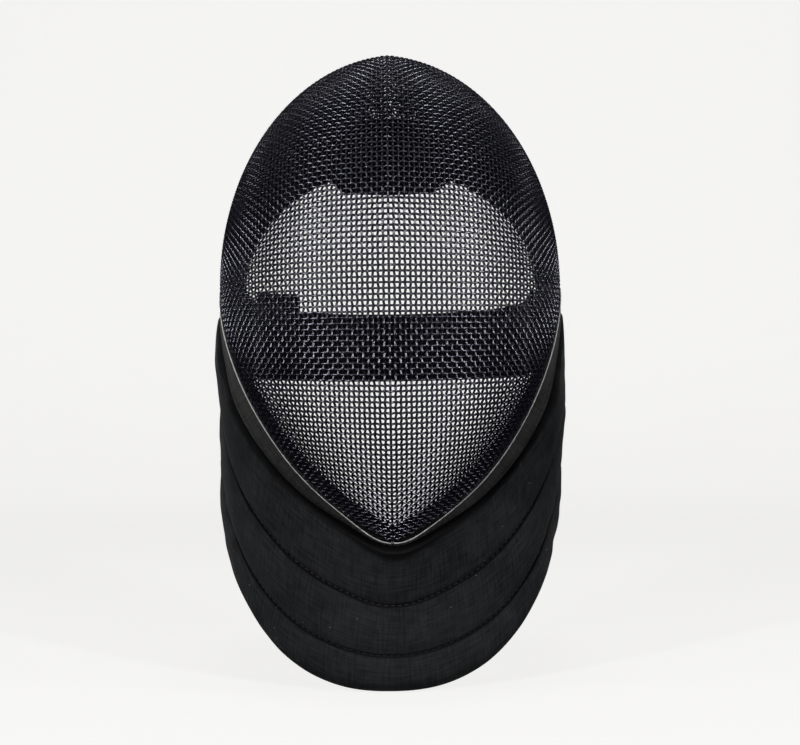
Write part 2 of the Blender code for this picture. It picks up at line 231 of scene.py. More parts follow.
def next_crossings(below, beside, guess, pitch_up, pitch_aside):
    """Points on the dome, pitch_up from the crossing below and pitch_aside from the one beside."""
    points = guess
    for _ in range(CROSSING_STEPS):
        up, aside = points - below, points - beside
        miss = np.stack([dome_level(points) * LEVEL_WEIGHT,
                         ((up**2).sum(-1) - pitch_up**2) / PITCH,
                         ((aside**2).sum(-1) - pitch_aside**2) / PITCH], axis=-1)
        slope = np.stack([dome_slope(points) * LEVEL_WEIGHT, 2 * up / PITCH, 2 * aside / PITCH],
                         axis=-2)
        flat = np.abs(np.linalg.det(slope)) < 1e-9       # the three pull the same way: no solution
        slope[flat] = np.eye(3)
        miss[flat] = 0
        points = step_to(points, miss, slope)
    return points, ~flat & (np.abs(miss).max(-1) < 1e-6)


def crease_wire(count, way):
    """Crossings one pitch apart along the crease, up (way 1) or down (way -1)."""
    start = np.degrees(np.arctan2(LEVEL_ROW_RISE, CREASE_AHEAD))
    fine = start + way * np.linspace(0, CREASE_UP if way > 0 else CREASE_DOWN, 20001)
    run = run_along(dome_point(fine, 0))
    wanted = np.arange(count) * PITCH
    return dome_point(np.interp(wanted[wanted <= run[-1]], run, fine), 0)


def level_row(first, count):
    """Crossings one pitch apart along a level cut through the dome, from crease to ear."""
    plane = unit(np.array([0, -LEVEL_ROW_TILT, 1.0]))
    points, here = [first], first + PITCH * np.array([0.94, 0.3, 0])
    for _ in range(count - 1):
        for _ in range(ROW_STEPS):
            back = here - points[-1]
            miss = np.array([dome_level(here) * LEVEL_WEIGHT, (back @ back - PITCH**2) / PITCH,
                             plane @ (here - first)])
            slope = np.stack([dome_slope(here) * LEVEL_WEIGHT, 2 * back / PITCH, plane])
            here = step_to(here, miss, slope)
        points.append(here)
        here = 2 * points[-1] - points[-2]
    return np.array(points)


# %% Laying the net, one diagonal of crossings after another
def lay_net(crease, row, shrink):
    """Crossings[i, j], i rows from the level row and j columns from the crease."""
    net = np.full((len(crease), len(row), 3), np.nan)
    net[:, 0], net[0, :] = crease, row
    for diagonal in range(2, len(crease) + len(row) - 1):
        i = np.arange(max(1, diagonal - len(row) + 1), min(len(crease), diagonal))
        j = diagonal - i
        below, beside, corner = net[i - 1, j], net[i, j - 1], net[i - 1, j - 1]
        known = np.isfinite(below + beside + corner).all(-1)
        if not known.any():
            continue
        i, j = i[known], j[known]
        below, beside, corner = below[known], beside[known], corner[known]
        pitch_up = shrunk_pitch(COLUMN_SHRINK, i, j) if shrink else PITCH
        pitch_aside = shrunk_pitch(ROW_SHRINK, i, j) if shrink else PITCH
        guess = below + beside - corner
        points, solved = next_crossings(below, beside, guess, pitch_up, pitch_aside)
        rear = REAR_EDGE_BACK + REAR_EDGE_LEAN * (points[:, 2] + EAR_DROP)
        wanted = solved & (points[:, 1] < np.maximum(rear, LEAST_BACK) + OVERHANG)
        net[i[wanted], j[wanted]] = points[wanted]
    return net


up_crease, down_crease = crease_wire(ROWS_UP, 1), crease_wire(ROWS_DOWN, -1)
first_row = level_row(up_crease[0], COLUMNS)
upper = lay_net(up_crease, first_row, True)
lower = lay_net(down_crease, first_row, False)
level = len(down_crease) - 1                       # the level row's number in the whole net
half_net = np.concatenate([lower[:0:-1], upper])
print("crossings in one half of the net:", int(np.isfinite(half_net[..., 0]).sum()))


# %% [markdown]
# ## Trimming the net
#
# The dome is cut along two curves: the lower edge, from chin to ears and level to the back,
# and the rear edge, which leans forward from crown to ears.  A wire ends where it passes one
# of them, inside the tape or the rear band, as a cut wire does on the real mask.

# %% How far inside the two edges a point lies
def lower_elevation(sweep):
    sweep = np.asarray(sweep, dtype=float)
    return from_rows(EDGE_ROWS, 1, np.abs(sweep)) - EDGE_SKEW * np.sin(pi * sweep)


def inside_lower_edge(points):
    elevation, radius = polar(points)
    fold, crease = fold_and_crease(elevation)
    across = (np.abs(points[..., 0]) / HALF_WIDTH + fold) / (1 + fold)
    sweep = (np.arcsin(np.clip(across, -1, 1)) - crease) / (pi / 2 - crease)
    sweep = np.clip(sweep, 0, 1) * np.where(points[..., 0] < 0, -1, 1)
    ahead = radius * np.radians(elevation - lower_elevation(sweep))
    return np.where(points[..., 1] < 0, ahead, points[..., 2] + EAR_DROP)


def inside_rear_edge(points):
    return REAR_EDGE_BACK + REAR_EDGE_LEAN * (points[..., 2] + EAR_DROP) - points[..., 1]


EDGE_TUCK, REAR_TUCK = 0.0009, 0.0030      # how far the wires run on under tape and band


def inside_edges(points):
    """Over 0 where there is wire."""
    return np.minimum(inside_lower_edge(points) + EDGE_TUCK, inside_rear_edge(points) + REAR_TUCK)


# %% From crossings to wires
CRIMP = 0.00056             # each wire swings this far in and out; the enamel bridges the rest
REST = 0.15                 # it lies level over a crossing for this share of the pitch


def wire_route(crossings, over):
    """One crimped wire: two points at each crossing, ended where it passes an edge."""
    known = np.isfinite(crossings[:, 0])
    inside = np.where(known, inside_edges(np.nan_to_num(crossings)), -1)
    kept = np.flatnonzero(inside > 0)
    if len(kept) < 2:
        return None
    first, last = kept[0], kept[-1]
    places = crossings[first:last + 1]
    lifts = unit(dome_slope(places)) * (CRIMP * over[first:last + 1])[:, None]
    steps = np.diff(places, axis=0)
    before = places[1:] - REST * steps + lifts[1:]
    after = places[:-1] + REST * steps + lifts[:-1]
    route = [point for pair in zip(after, before) for point in pair]
    for end, beyond, start in ((first, first - 1, True), (last, last + 1, False)):
        lift = lifts[0 if start else -1]
        if 0 <= beyond < len(crossings) and known[beyond]:
            share = inside[end] / (inside[end] - inside[beyond])
            tip = crossings[end] + share * (crossings[beyond] - crossings[end])
            tip = tip + lift * (1 - 2 * share)
        else:
            tip = crossings[end] + lift
        route.insert(0 if start else len(route), tip)
    return np.array(route)


def mirrored_columns(values):
    """Both halves of the net from one, with the crease column in the middle."""
    flipped = values[:, :0:-1] * np.array([-1, 1, 1])
    return np.concatenate([flipped, values], axis=1)


net = mirrored_columns(half_net)
middle = net.shape[1] // 2
row_numbers, column_numbers = np.indices(net.shape[:2])
over = np.where((row_numbers - level + np.abs(column_numbers - middle)) % 2 == 0, 1.0, -1.0)
uprights = [wire_route(net[:, j], over[:, j]) for j in range(net.shape[1])]
crosswise = [wire_route(net[i], -over[i]) for i in range(net.shape[0])]
print("wires:", sum(route is not None for route in uprights + crosswise))


# %% [markdown]
# ## Finishes and the groups behind them
#
# Nearly everything on a mask is black, and blacks only look real through what happens on top
# of the colour: the weave, a little dust, threads that have faded, a sheen at grazing angles.
# The effects that several finishes share are node groups.  Each group gives out a height or a
# mask that changes over the surface, and each material decides what to do with it.
# Image textures would be quicker to look at, but nodes stay sharp from near and far.

# %% Small helpers for nodes
def feed(tree, socket, value):
    if isinstance(value, bpy.types.NodeSocket):
        tree.links.new(value, socket)
    else:
        socket.default_value = value


def math_node(tree, operation, *values, clamp=False):
    node = tree.nodes.new("ShaderNodeMath")
    node.operation = operation
    node.use_clamp = clamp
    for socket, value in zip(node.inputs, values):
        feed(tree, socket, value)
    return node.outputs[0]


def mix_colours(tree, factor, first, second):
    node = tree.nodes.new("ShaderNodeMix")
    node.data_type = "RGBA"
    feed(tree, node.inputs[0], factor)
    feed(tree, node.inputs[6], first)
    feed(tree, node.inputs[7], second)
    return node.outputs[2]


def mapped(tree, value, low, high, to_low, to_high):
    node = tree.nodes.new("ShaderNodeMapRange")
    for socket, number in zip(node.inputs, (value, low, high, to_low, to_high)):
        feed(tree, socket, number)
    return node.outputs[0]


def scaled(tree, colour, factor):
    node = tree.nodes.new("ShaderNodeVectorMath")
    node.operation = "SCALE"
    feed(tree, node.inputs[0], colour)
    feed(tree, node.inputs["Scale"], factor)
    return node.outputs[0]


def parts_of(tree, vector):
    """The x, y and z of a vector, one socket each."""
    node = tree.nodes.new("ShaderNodeSeparateXYZ")
    feed(tree, node.inputs[0], vector)
    return node.outputs


def noise_node(tree, vector, scale, detail=3.0, roughness=0.5):
    node = tree.nodes.new("ShaderNodeTexNoise")
    for name, value in (("Vector", vector), ("Scale", scale), ("Detail", detail),
                        ("Roughness", roughness)):
        feed(tree, node.inputs[name], value)
    return node.outputs["Fac"]


def new_finish(name):
    """A new material, its node tree and the shader in it."""
    material = bpy.data.materials.new(name)
    material.use_nodes = True
    return material, material.node_tree, material.node_tree.nodes["Principled BSDF"]


def raise_surface(tree, shader, height, distance, strength=1.0):
    bump = tree.nodes.new("ShaderNodeBump")
    bump.inputs["Strength"].default_value = strength
    bump.inputs["Distance"].default_value = distance
    feed(tree, bump.inputs["Height"], height)
    feed(tree, shader.inputs["Normal"], bump.outputs["Normal"])


def new_group(name, inputs, outputs):
    """An empty node group with named inputs (label, kind, start value) and outputs."""
    tree = bpy.data.node_groups.new(name, "ShaderNodeTree")
    for label, kind, start in inputs:
        socket = tree.interface.new_socket(label, in_out="INPUT", socket_type=kind)
        if start is not None:
            socket.default_value = start
    for label in outputs:
        tree.interface.new_socket(label, in_out="OUTPUT", socket_type="NodeSocketFloat")
    return tree, tree.nodes.new("NodeGroupInput"), tree.nodes.new("NodeGroupOutput")


# %% Group: plain-woven thread, over and under, from a map in metres
def make_thread_weave():
    tree, given, out = new_group("thread weave", (("Map", "NodeSocketVector", None),
                                                  ("Threads per metre", "NodeSocketFloat", 1400),
                                                  ("Slack", "NodeSocketFloat", 0.3)),
                                 ("Height", "Shade"))
    wander = noise_node(tree, given.outputs["Map"], 90.0, 2.0)
    waves = []
    for way in parts_of(tree, given.outputs["Map"])[:2]:
        run = math_node(tree, "MULTIPLY", way, given.outputs["Threads per metre"])
        loose = math_node(tree, "MULTIPLY", wander, given.outputs["Slack"])
        turn = math_node(tree, "MULTIPLY", math_node(tree, "ADD", run, loose), pi)
        waves.append(math_node(tree, "SINE", turn))
    crossing = math_node(tree, "MULTIPLY", waves[0], waves[1])
    across = [math_node(tree, "ABSOLUTE", wave) for wave in waves]
    on_top = mapped(tree, crossing, -0.15, 0.15, 0.0, 1.0)
    blend = tree.nodes.new("ShaderNodeMix")
    feed(tree, blend.inputs[0], on_top)
    feed(tree, blend.inputs[2], across[0])
    feed(tree, blend.inputs[3], across[1])
    feed(tree, out.inputs["Height"], math_node(tree, "POWER", blend.outputs[0], 0.7))
    feed(tree, out.inputs["Shade"], mapped(tree, blend.outputs[0], 0.0, 1.0, 0.55, 1.0))
    return tree


# %% Group: ribs across a webbing or a binding tape
def make_ribs():
    tree, given, out = new_group("ribs", (("Map", "NodeSocketVector", None),
                                          ("Ribs per metre", "NodeSocketFloat", 1100),
                                          ("Lines per metre", "NodeSocketFloat", 0.0)),
                                 ("Height", "Shade"))
    along, across, _ = parts_of(tree, given.outputs["Map"])
    wander = noise_node(tree, given.outputs["Map"], 160.0, 2.0)
    ribs_passed = math_node(tree, "MULTIPLY", along, given.outputs["Ribs per metre"])
    turn = math_node(tree, "MULTIPLY", math_node(tree, "ADD", ribs_passed, wander), pi)
    rib = math_node(tree, "ABSOLUTE", math_node(tree, "SINE", turn))
    lines_passed = math_node(tree, "MULTIPLY", across, given.outputs["Lines per metre"])
    turn = math_node(tree, "MULTIPLY", lines_passed, pi)
    line = math_node(tree, "ABSOLUTE", math_node(tree, "COSINE", turn))
    both = math_node(tree, "MULTIPLY", math_node(tree, "POWER", rib, 0.6),
                     math_node(tree, "POWER", line, 0.35))
    feed(tree, out.inputs["Height"], both)
    feed(tree, out.inputs["Shade"], mapped(tree, both, 0.0, 1.0, 0.5, 1.0))
    return tree


# %% Group: lint and dust that settle on dark cloth
def make_lint():
    tree, given, out = new_group("lint", (("Place", "NodeSocketVector", None),
                                          ("Cells per metre", "NodeSocketFloat", 190),
                                          ("Share", "NodeSocketFloat", 0.25)),
                                 ("Specks", "Dust"))
    cells = tree.nodes.new("ShaderNodeTexVoronoi")
    feed(tree, cells.inputs["Vector"], given.outputs["Place"])
    feed(tree, cells.inputs["Scale"], given.outputs["Cells per metre"])
    near = mapped(tree, cells.outputs["Distance"], 0.045, 0.10, 1.0, 0.0)
    apart = tree.nodes.new("ShaderNodeSeparateColor")
    feed(tree, apart.inputs[0], cells.outputs["Color"])
    chosen = math_node(tree, "LESS_THAN", apart.outputs[0], given.outputs["Share"])
    feed(tree, out.inputs["Specks"], math_node(tree, "MULTIPLY", near, chosen, clamp=True))
    cloud = noise_node(tree, given.outputs["Place"], 26.0, 5.0, 0.6)
    feed(tree, out.inputs["Dust"], mapped(tree, cloud, 0.42, 0.68, 0.0, 1.0))
    return tree


# %% Group: slubs, the thick and thin places along cotton threads
def make_slubs():
    tree, given, out = new_group("slubs", (("Map", "NodeSocketVector", None),
                                           ("Threads per metre", "NodeSocketFloat", 900)),
                                 ("Streaks",))
    streaks = []
    for stretch in ((1.0, 0.09, 1.0), (0.09, 1.0, 1.0)):
        pulled = tree.nodes.new("ShaderNodeVectorMath")
        pulled.operation = "MULTIPLY"
        feed(tree, pulled.inputs[0], given.outputs["Map"])
        feed(tree, pulled.inputs[1], stretch)
        threads = given.outputs["Threads per metre"]
        streaks.append(noise_node(tree, pulled.outputs[0], threads, 2.0))
    both = math_node(tree, "MULTIPLY", math_node(tree, "ADD", *streaks), 0.5)
    feed(tree, out.inputs["Streaks"], mapped(tree, both, 0.36, 0.64, 0.0, 1.0))
    return tree


thread_weave, ribs, lint, slubs = make_thread_weave(), make_ribs(), make_lint(), make_slubs()
print("node groups:", ", ".join(group.name for group in bpy.data.node_groups))


# %% [markdown]
# ### Cloth
#
# Bib, tape, lining, padding, strap and tab are all black textiles that differ in their threads.
# A separate material for each would repeat the same twenty nodes, so one function makes them
# all and is told the threads, the two ends of the colour and how dusty the cloth is.  Where a
# seam pulls the cloth in, where it is tucked under another piece, or where it turns under at
# the chin, painted shade darkens the colour last, over everything else.

# %% The colour of a cloth, from its threads to its dust and its painted shade
LINT = (0.16, 0.16, 0.165, 1)
SEAM_EDGES = (0.0006, 0.0016)   # a seam's shade ends between these distances from it
CHIN_SHADE = 0.0050         # how much further the painted shadow under the tape reaches at the chin
CHIN_SHADE_REACH = 0.055    # and how far to each side


def placed_group(tree, group, **values):
    node = tree.nodes.new("ShaderNodeGroup")
    node.node_tree = group
    for label, value in values.items():
        feed(tree, node.inputs[label.replace("_", " ")], value)
    return node


def dyed_with_thread_shade(tree, chart, patches, shade, dark, light, threads_per_metre, slub):
    """Faded in patches, with painted shade between the threads, and streaky along them."""
    colour = mix_colours(tree, mapped(tree, patches, 0.3, 0.7, 0.0, 1.0), (*dark, 1), (*light, 1))
    colour = mix_colours(tree, shade, (*(0.35 * c for c in dark), 1), colour)
    streaks = placed_group(tree, slubs, Map=chart, Threads_per_metre=0.6 * threads_per_metre)
    return scaled(tree, colour, mapped(tree, streaks.outputs["Streaks"], 0.0, 1.0,
                                       1.0 - slub, 1.0 + slub))


def dusted(tree, colour, place, light, share):
    """The same colour under a little dust and a few specks of lint."""
    fluff = placed_group(tree, lint, Place=place, Share=share)
    dusty = tuple(0.75 * c + 0.035 for c in light)
    amount = math_node(tree, "MULTIPLY", fluff.outputs["Dust"], 0.16)
    colour = mix_colours(tree, amount, colour, (*dusty, 1))
    amount = math_node(tree, "MULTIPLY", fluff.outputs["Specks"], 0.5)
    return mix_colours(tree, amount, colour, LINT)


def painted_shade(tree, colour, chart, seams, tuck, chin, turn):
    """The same colour with painted shade in the seams, in the tuck and where the cloth turns
    under.
    """
    along, down, _ = parts_of(tree, chart)
    for seam in seams:
        apart = math_node(tree, "ABSOLUTE", math_node(tree, "SUBTRACT", down, seam))
        colour = scaled(tree, colour, mapped(tree, apart, *SEAM_EDGES, 0.06, 1.0))
    if chin is None:
        return colour
    from_chin = math_node(tree, "ABSOLUTE", math_node(tree, "SUBTRACT", along, chin))
    if tuck:
        deeper = mapped(tree, from_chin, 0.0, CHIN_SHADE_REACH, CHIN_SHADE, 0.0)
        depth = math_node(tree, "SUBTRACT", down, deeper)
        colour = scaled(tree, colour, mapped(tree, depth, tuck, 1.6 * tuck, 0.03, 1.0))
    if turn:
        colour = scaled(tree, colour, mapped(tree, from_chin, *turn, 0.05, 1.0))
    return colour


# %% One maker for all the cloth finishes
def cloth_finish(name, dark, light, pattern, per_metre, relief, roughness=0.9, sheen=0.25,
                 share=0.2, lines=0.0, slub=0.3, seams=(), tuck=0.0, chin=None, turn=None):
    """pattern draws the threads; dark and light are the two ends of the colour; slub says how
    streaky the threads are; seams are the places on the map where a seam pulls the cloth in and
    painted shade darkens it; the first stretch, as far as tuck, lies under another piece and gets
    painted shadow, and at the chin, a place along the map, that stretch is deeper.  turn is the
    length to each side of the chin over which the cloth faces down and gets painted shade."""
    material, tree, shader = new_finish(name)
    shader.inputs["Sheen Weight"].default_value = sheen
    shader.inputs["Sheen Roughness"].default_value = 0.45
    shader.inputs["Specular IOR Level"].default_value = 0.12
    places = tree.nodes.new("ShaderNodeTexCoord")
    chart = places.outputs["UV"]
    if pattern == thread_weave:
        threads = placed_group(tree, pattern, Map=chart, Threads_per_metre=per_metre)
    else:
        threads = placed_group(tree, pattern, Map=chart, Ribs_per_metre=per_metre,
                               Lines_per_metre=lines)
    patches = noise_node(tree, places.outputs["Object"], 55.0, 4.0, 0.6)
    colour = dyed_with_thread_shade(tree, chart, patches, threads.outputs["Shade"], dark, light, per_metre, slub)
    colour = dusted(tree, colour, places.outputs["Object"], light, share)
    colour = painted_shade(tree, colour, chart, seams, tuck, chin, turn)
    feed(tree, shader.inputs["Base Color"], colour)
    feed(tree, shader.inputs["Roughness"], mapped(tree, patches, 0.3, 0.7, roughness - 0.06,
                                                  min(roughness + 0.05, 1.0)))
    raise_surface(tree, shader, threads.outputs["Height"], relief, 0.8)
    return material


# %% The cloths, apart from the tape's and the bib's, which wait for their places
lining_cloth = cloth_finish("lining cloth", (0.016, 0.016, 0.015), (0.026, 0.026, 0.024),
                            thread_weave, 1100, 0.0002, roughness=0.95, sheen=0.1, share=0.05)
padding_cloth = cloth_finish("padding cloth", (0.009, 0.009, 0.0105), (0.0145, 0.0145, 0.016),
                             thread_weave, 1200, 0.0002, roughness=0.92, sheen=0.15, share=0.10)
tongue_fabric = cloth_finish("tongue fabric", (0.010, 0.010, 0.0115), (0.0165, 0.0165, 0.018),
                             thread_weave, 1000, 0.00022, roughness=0.9, sheen=0.15, share=0.10)
strap_webbing = cloth_finish("strap webbing", (0.011, 0.011, 0.013), (0.019, 0.019, 0.021),
                             ribs, 900, 0.0003, roughness=0.8, sheen=0.12, share=0.10, lines=420)
tab_cloth = cloth_finish("tab cloth", (0.0115, 0.0115, 0.013), (0.020, 0.020, 0.022),
                         ribs, 1000, 0.0003, roughness=0.78, sheen=0.12, share=0.10, lines=500)
print("finishes:", ", ".join(material.name for material in bpy.data.materials))


# %% [markdown]
# ### Enamel and thread
#
# The wire is dipped in a thick black enamel.  It could be a metal with a dark colour, but enamel
# is a glossy skin that keeps its own white highlights, so it is a dielectric with a nearly black
# base, a high index of refraction and rubbed spots.  Sewing thread and trim cord are twisted
# fibres, too thin to show a weave: patches of colour and a fine bump are all that is seen.

# %% Finish: black enamelled wire
def make_wire_enamel():
    material, tree, shader = new_finish("wire enamel")
    shader.inputs["IOR"].default_value = 1.65
    shader.inputs["Specular IOR Level"].default_value = 1.0
    shader.inputs["Specular Tint"].default_value = (0.90, 0.88, 1.0, 1.0)
    place = tree.nodes.new("ShaderNodeTexCoord").outputs["Object"]
    patches = noise_node(tree, place, 40.0, 4.0, 0.6)
    grain = noise_node(tree, place, 2600.0, 2.0, 0.5)
    colour = mix_colours(tree, mapped(tree, patches, 0.35, 0.65, 0.0, 1.0),
                         (0.0020, 0.0019, 0.0055, 1), (0.0032, 0.0029, 0.0080, 1))
    rubbed = mapped(tree, grain, 0.66, 0.80, 0.0, 0.6)
    colour = mix_colours(tree, rubbed, colour, (0.022, 0.021, 0.030, 1))
    feed(tree, shader.inputs["Base Color"], colour)
    feed(tree, shader.inputs["Roughness"], mapped(tree, grain, 0.3, 0.7, 0.20, 0.30))
    raise_surface(tree, shader, grain, 0.00004, 0.6)
    return material


# %% Finish: sewing thread and the pale trim cord
def make_thread(name, dark, light):
    material, tree, shader = new_finish(name)
    shader.inputs["Sheen Weight"].default_value = 0.3
    place = tree.nodes.new("ShaderNodeTexCoord").outputs["Object"]
    patches = noise_node(tree, place, 300.0, 3.0)
    fibres = noise_node(tree, place, 3500.0, 2.0)
    colour = mix_colours(tree, mapped(tree, patches, 0.3, 0.7, 0.0, 1.0), (*dark, 1), (*light, 1))
    feed(tree, shader.inputs["Base Color"], colour)
    feed(tree, shader.inputs["Roughness"], mapped(tree, fibres, 0.3, 0.7, 0.6, 0.85))
    raise_surface(tree, shader, fibres, 0.00006)
    return material


wire_enamel = make_wire_enamel()
black_thread = make_thread("black thread", (0.004, 0.004, 0.0045), (0.008, 0.008, 0.0085))
trim_cord = make_thread("trim cord", (0.46, 0.46, 0.44), (0.78, 0.78, 0.75))
print("and:", ", ".join(finish.name for finish in (wire_enamel, black_thread, trim_cord)))


# %% [markdown]
# ## Putting the wires on
#
# Each wire is a poly curve with a round bevel, which is how Blender draws a tube along a line.
# Six sides are enough at this thickness.  All the wires of one part of the dome become a
# single mesh, because a hundred separate objects would only slow everything down.

# %% Helpers that make and finish a piece
def put_on(piece, *nodes, finish, slot):
    """The piece rides with the mask, stands for its CAD nodes and gets its finish."""
    piece.data.materials.clear()
    piece.data.materials.append(finish)
    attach(piece, "root")
    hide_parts(*nodes)
    return piece


def triangles(mesh):
    return sum(len(polygon.vertices) - 2 for polygon in mesh.polygons)


def add_object(name, data):
    made = bpy.data.objects.new(name, data)
    bpy.context.scene.collection.objects.link(made)
    return made


def as_shown(piece):
    """The piece with its bevel or its modifiers worked out."""
    return piece.evaluated_get(bpy.context.evaluated_depsgraph_get())


def tubes(name, routes, radius, resolution):
    """One mesh of round tubes, each along its own route."""
    curve = bpy.data.curves.new(name, "CURVE")
    curve.dimensions = "3D"
    curve.bevel_depth = radius
    curve.bevel_resolution = resolution
    curve.use_fill_caps = True
    for route in routes:
        spline = curve.splines.new("POLY")
        spline.points.add(len(route) - 1)
        spline.points.foreach_set("co", np.column_stack([route, np.ones(len(route))]).ravel())
    drawn = add_object(name, curve)
    bpy.context.view_layer.update()
    mesh = bpy.data.meshes.new_from_object(as_shown(drawn))
    bpy.data.objects.remove(drawn)
    bpy.data.curves.remove(curve)
    mesh.name = name
    mesh.shade_smooth()
    return add_object(name, mesh)


# %% The four meshes of wire
FACE_ROWS = 44              # crosswise wires above this many over the level row are the crown's
crown_row = level + FACE_ROWS
for name, routes in (("wires_upright_left", uprights[:middle]),
                     ("wires_upright_right", uprights[middle:]),
                     ("wires_cross_face", crosswise[:crown_row]),
                     ("wires_cross_crown", crosswise[crown_row:])):
    laid = [route for route in routes if route is not None]
    piece = put_on(tubes(name, laid, WIRE_RADIUS, 1), "wire_dome",
                   finish=wire_enamel, slot="black_wire")
    print(name, triangles(piece.data), "triangles")


# %% [markdown]
# ## The edge that everything hangs on
#
# Tape, trim cord, lining and bib all follow one line: the dome's cut edge, and behind the ears
# its level run to the rear ends of the bib.  The line is laid out once, at even steps, with
# the direction out of the mask and the direction away from the dome at each step.  Tape can't
# turn a sharp corner, so the line is eased where it passes the chin and the ears.

# %% Dimensions around the edge
#   sweep | tape width | flare: how far the tape leans outwards
TAPE_ROWS = np.array((
    (0.00, 0.0095, -0.42),
    (0.12, 0.0105, -0.22),
    (0.30, 0.0135, 0.12),
    (0.58, 0.0150, 0.30),
    (0.74, 0.0140, 0.08),
    (0.88, 0.0125, 0.00),
    (1.00, 0.0115, 0.00),
))
BIB_REAR, BIB_REAR_HALF_WIDTH = 0.084, 0.0925
CORNER_EASE, CHIN_EASE = 0.0050, 0.0100    # the edge is averaged over this length to each side
CHIN_DROP, CHIN_REACH = 0.0027, 0.016      # and let out again at the chin, where that lifts it
CORNER_X = float(dome_point(180.0, REAR_CORNER)[0])
CHIN_HOLD = 0.030           # how far to each side of the chin the wider average holds
NUDGE = 1e-6                # off the middle plane, where the two halves' slopes disagree


def mix(start, end, part):
    return start + (end - start) * part


def bell(distance, reach):
    """1 at distance 0, falling softly to almost nothing at three times the reach."""
    return np.exp(-0.5 * (distance / reach) ** 2)


def level_half_width(y):
    """Half width of the edge's level run behind the ears."""
    behind = mix(CORNER_X, BIB_REAR_HALF_WIDTH, (y - REAR_EDGE_BACK) / (BIB_REAR - REAR_EDGE_BACK))
    return np.where(y <= REAR_EDGE_BACK,
                    mix(HALF_WIDTH, CORNER_X, (y / REAR_EDGE_BACK) ** 2), behind)


def at_runs(runs, values, wanted):
    """Values of a line, one column at a time, at new distances along it."""
    values = np.asarray(values)
    if values.ndim == 1:
        return np.interp(wanted, runs, values)
    return np.stack([np.interp(wanted, runs, column) for column in values.T], axis=-1)


def smoothed(values, reach):
    """A running average with soft shoulders, reach in stations, that holds both ends."""
    far = int(4 * reach) + 1
    weights = bell(np.arange(-far, far + 1), reach)
    weights /= weights.sum()
    before = 2 * values[0] - values[far:0:-1]
    after = 2 * values[-1] - values[-2:-far - 2:-1]
    padded = np.concatenate([before, values, after])
    return np.stack([np.convolve(column, weights, "valid") for column in padded.T], axis=-1)


# %% The edge line
def edge_line(spacing):
    """Stations from the left rear end over the chin to the right rear end."""
    sweep = np.linspace(0, 1, 500)
    level_y = np.linspace(0, BIB_REAR, 200)[1:]
    halves = []
    for side in (-1, 1):
        front = dome_point(lower_elevation(side * sweep), side * sweep)
        out = unit(dome_slope(front + np.array([side * NUDGE, 0, 0])))
        out[-1] = (side, 0, 0)
        level_leg = np.column_stack([side * level_half_width(level_y), level_y,
                                     np.full(len(level_y), -EAR_DROP)])
        points = np.concatenate([front, level_leg])
        out = np.concatenate([out, np.tile([side, 0, 0], (len(level_y), 1))])
        sweeps = np.concatenate([sweep, np.ones(len(level_y))])
        halves.append((points, out, side * sweeps))
    points, out, sweeps = (np.concatenate([left[:0:-1], right]) for left, right in zip(*halves))
    runs = run_along(points)
    wanted = np.linspace(0, runs[-1], int(round(runs[-1] / spacing)) + 1)
    points, out, sweeps = (at_runs(runs, values, wanted) for values in (points, out, sweeps))
    from_chin = wanted - np.interp(0.0, sweeps, wanted)
    step = wanted[1] - wanted[0]
    points = mix(smoothed(points, CORNER_EASE / step), smoothed(points, CHIN_EASE / step),
                 bell(from_chin, CHIN_HOLD)[:, None])
    out = unit(smoothed(out, CORNER_EASE / step))
    points = points + out * CHIN_DROP * bell(from_chin, CHIN_REACH)[:, None]
    along = unit(np.gradient(points, axis=0))
    flare = from_rows(TAPE_ROWS, 2, np.abs(sweeps))[:, None]
    away = unit(unit(np.cross(along, out)) + out * flare)
    out = unit(out - away * (out * away).sum(-1, keepdims=True))
    return {"point": points, "out": out, "away": away, "sweep": sweeps,
            "run": run_along(points), "width": from_rows(TAPE_ROWS, 1, np.abs(sweeps))}


edge = edge_line(0.0020)
print("edge:", len(edge["run"]), "stations over", round(edge["run"][-1] * 1000), "mm")


# %% A closed wall between two sheets of points
def sheet_wall(name, outer, inner, chart):
    """outer and inner are points [column, row]; chart is the surface's flat map in metres.
    Also gives the number of each point's vertex."""
    columns, rows = outer.shape[0] - 1, outer.shape[1] - 1
    bm = bmesh.new()
    stored = bm.verts.layers.float_vector.new("chart")
    borders, numbers = [], np.zeros((2, columns + 1, rows + 1), dtype=int)
    for side, sheet in enumerate((outer, inner)):
        made = bmesh.ops.create_grid(bm, x_segments=columns, y_segments=rows, size=1.0)["verts"]
        bm.verts.index_update()
        for vert in made:
            column = round((vert.co.x + 1) / 2 * columns)
            row = round((vert.co.y + 1) / 2 * rows)
            numbers[side, column, row] = vert.index
            vert.co = sheet[column, row]
            vert[stored] = (*chart[column, row], 0)
        edges = {line for vert in made for line in vert.link_edges}
        borders += [line for line in edges if line.is_boundary]
    bmesh.ops.bridge_loops(bm, edges=borders)
    bmesh.ops.recalc_face_normals(bm, faces=bm.faces)
    uv = bm.loops.layers.uv.new("map")
    for face in bm.faces:
        for loop in face.loops:
            loop[uv].uv = loop.vert[stored][:2]
    mesh = bpy.data.meshes.new(name)
    bm.to_mesh(mesh)
    bm.free()
    mesh.attributes.remove(mesh.attributes["chart"])
    mesh.shade_smooth()
    return add_object(name, mesh), numbers


def flat_map(along, down):
    """A chart for sheet_wall: metres along the piece and metres down it, for every point."""
    return np.stack(np.broadcast_arrays(along, down), axis=-1)


def round_up(piece, levels=1):
    """A subdivision surface, applied, so that later stitches can be laid on the result."""
    modifier = piece.modifiers.new("smooth", "SUBSURF")
    modifier.levels = modifier.render_levels = levels
    bpy.context.view_layer.update()
    mesh = bpy.data.meshes.new_from_object(as_shown(piece))
    piece.modifiers.clear()
    old, piece.data = piece.data, mesh
    bpy.data.meshes.remove(old)
    piece.data.name = piece.name
    return piece


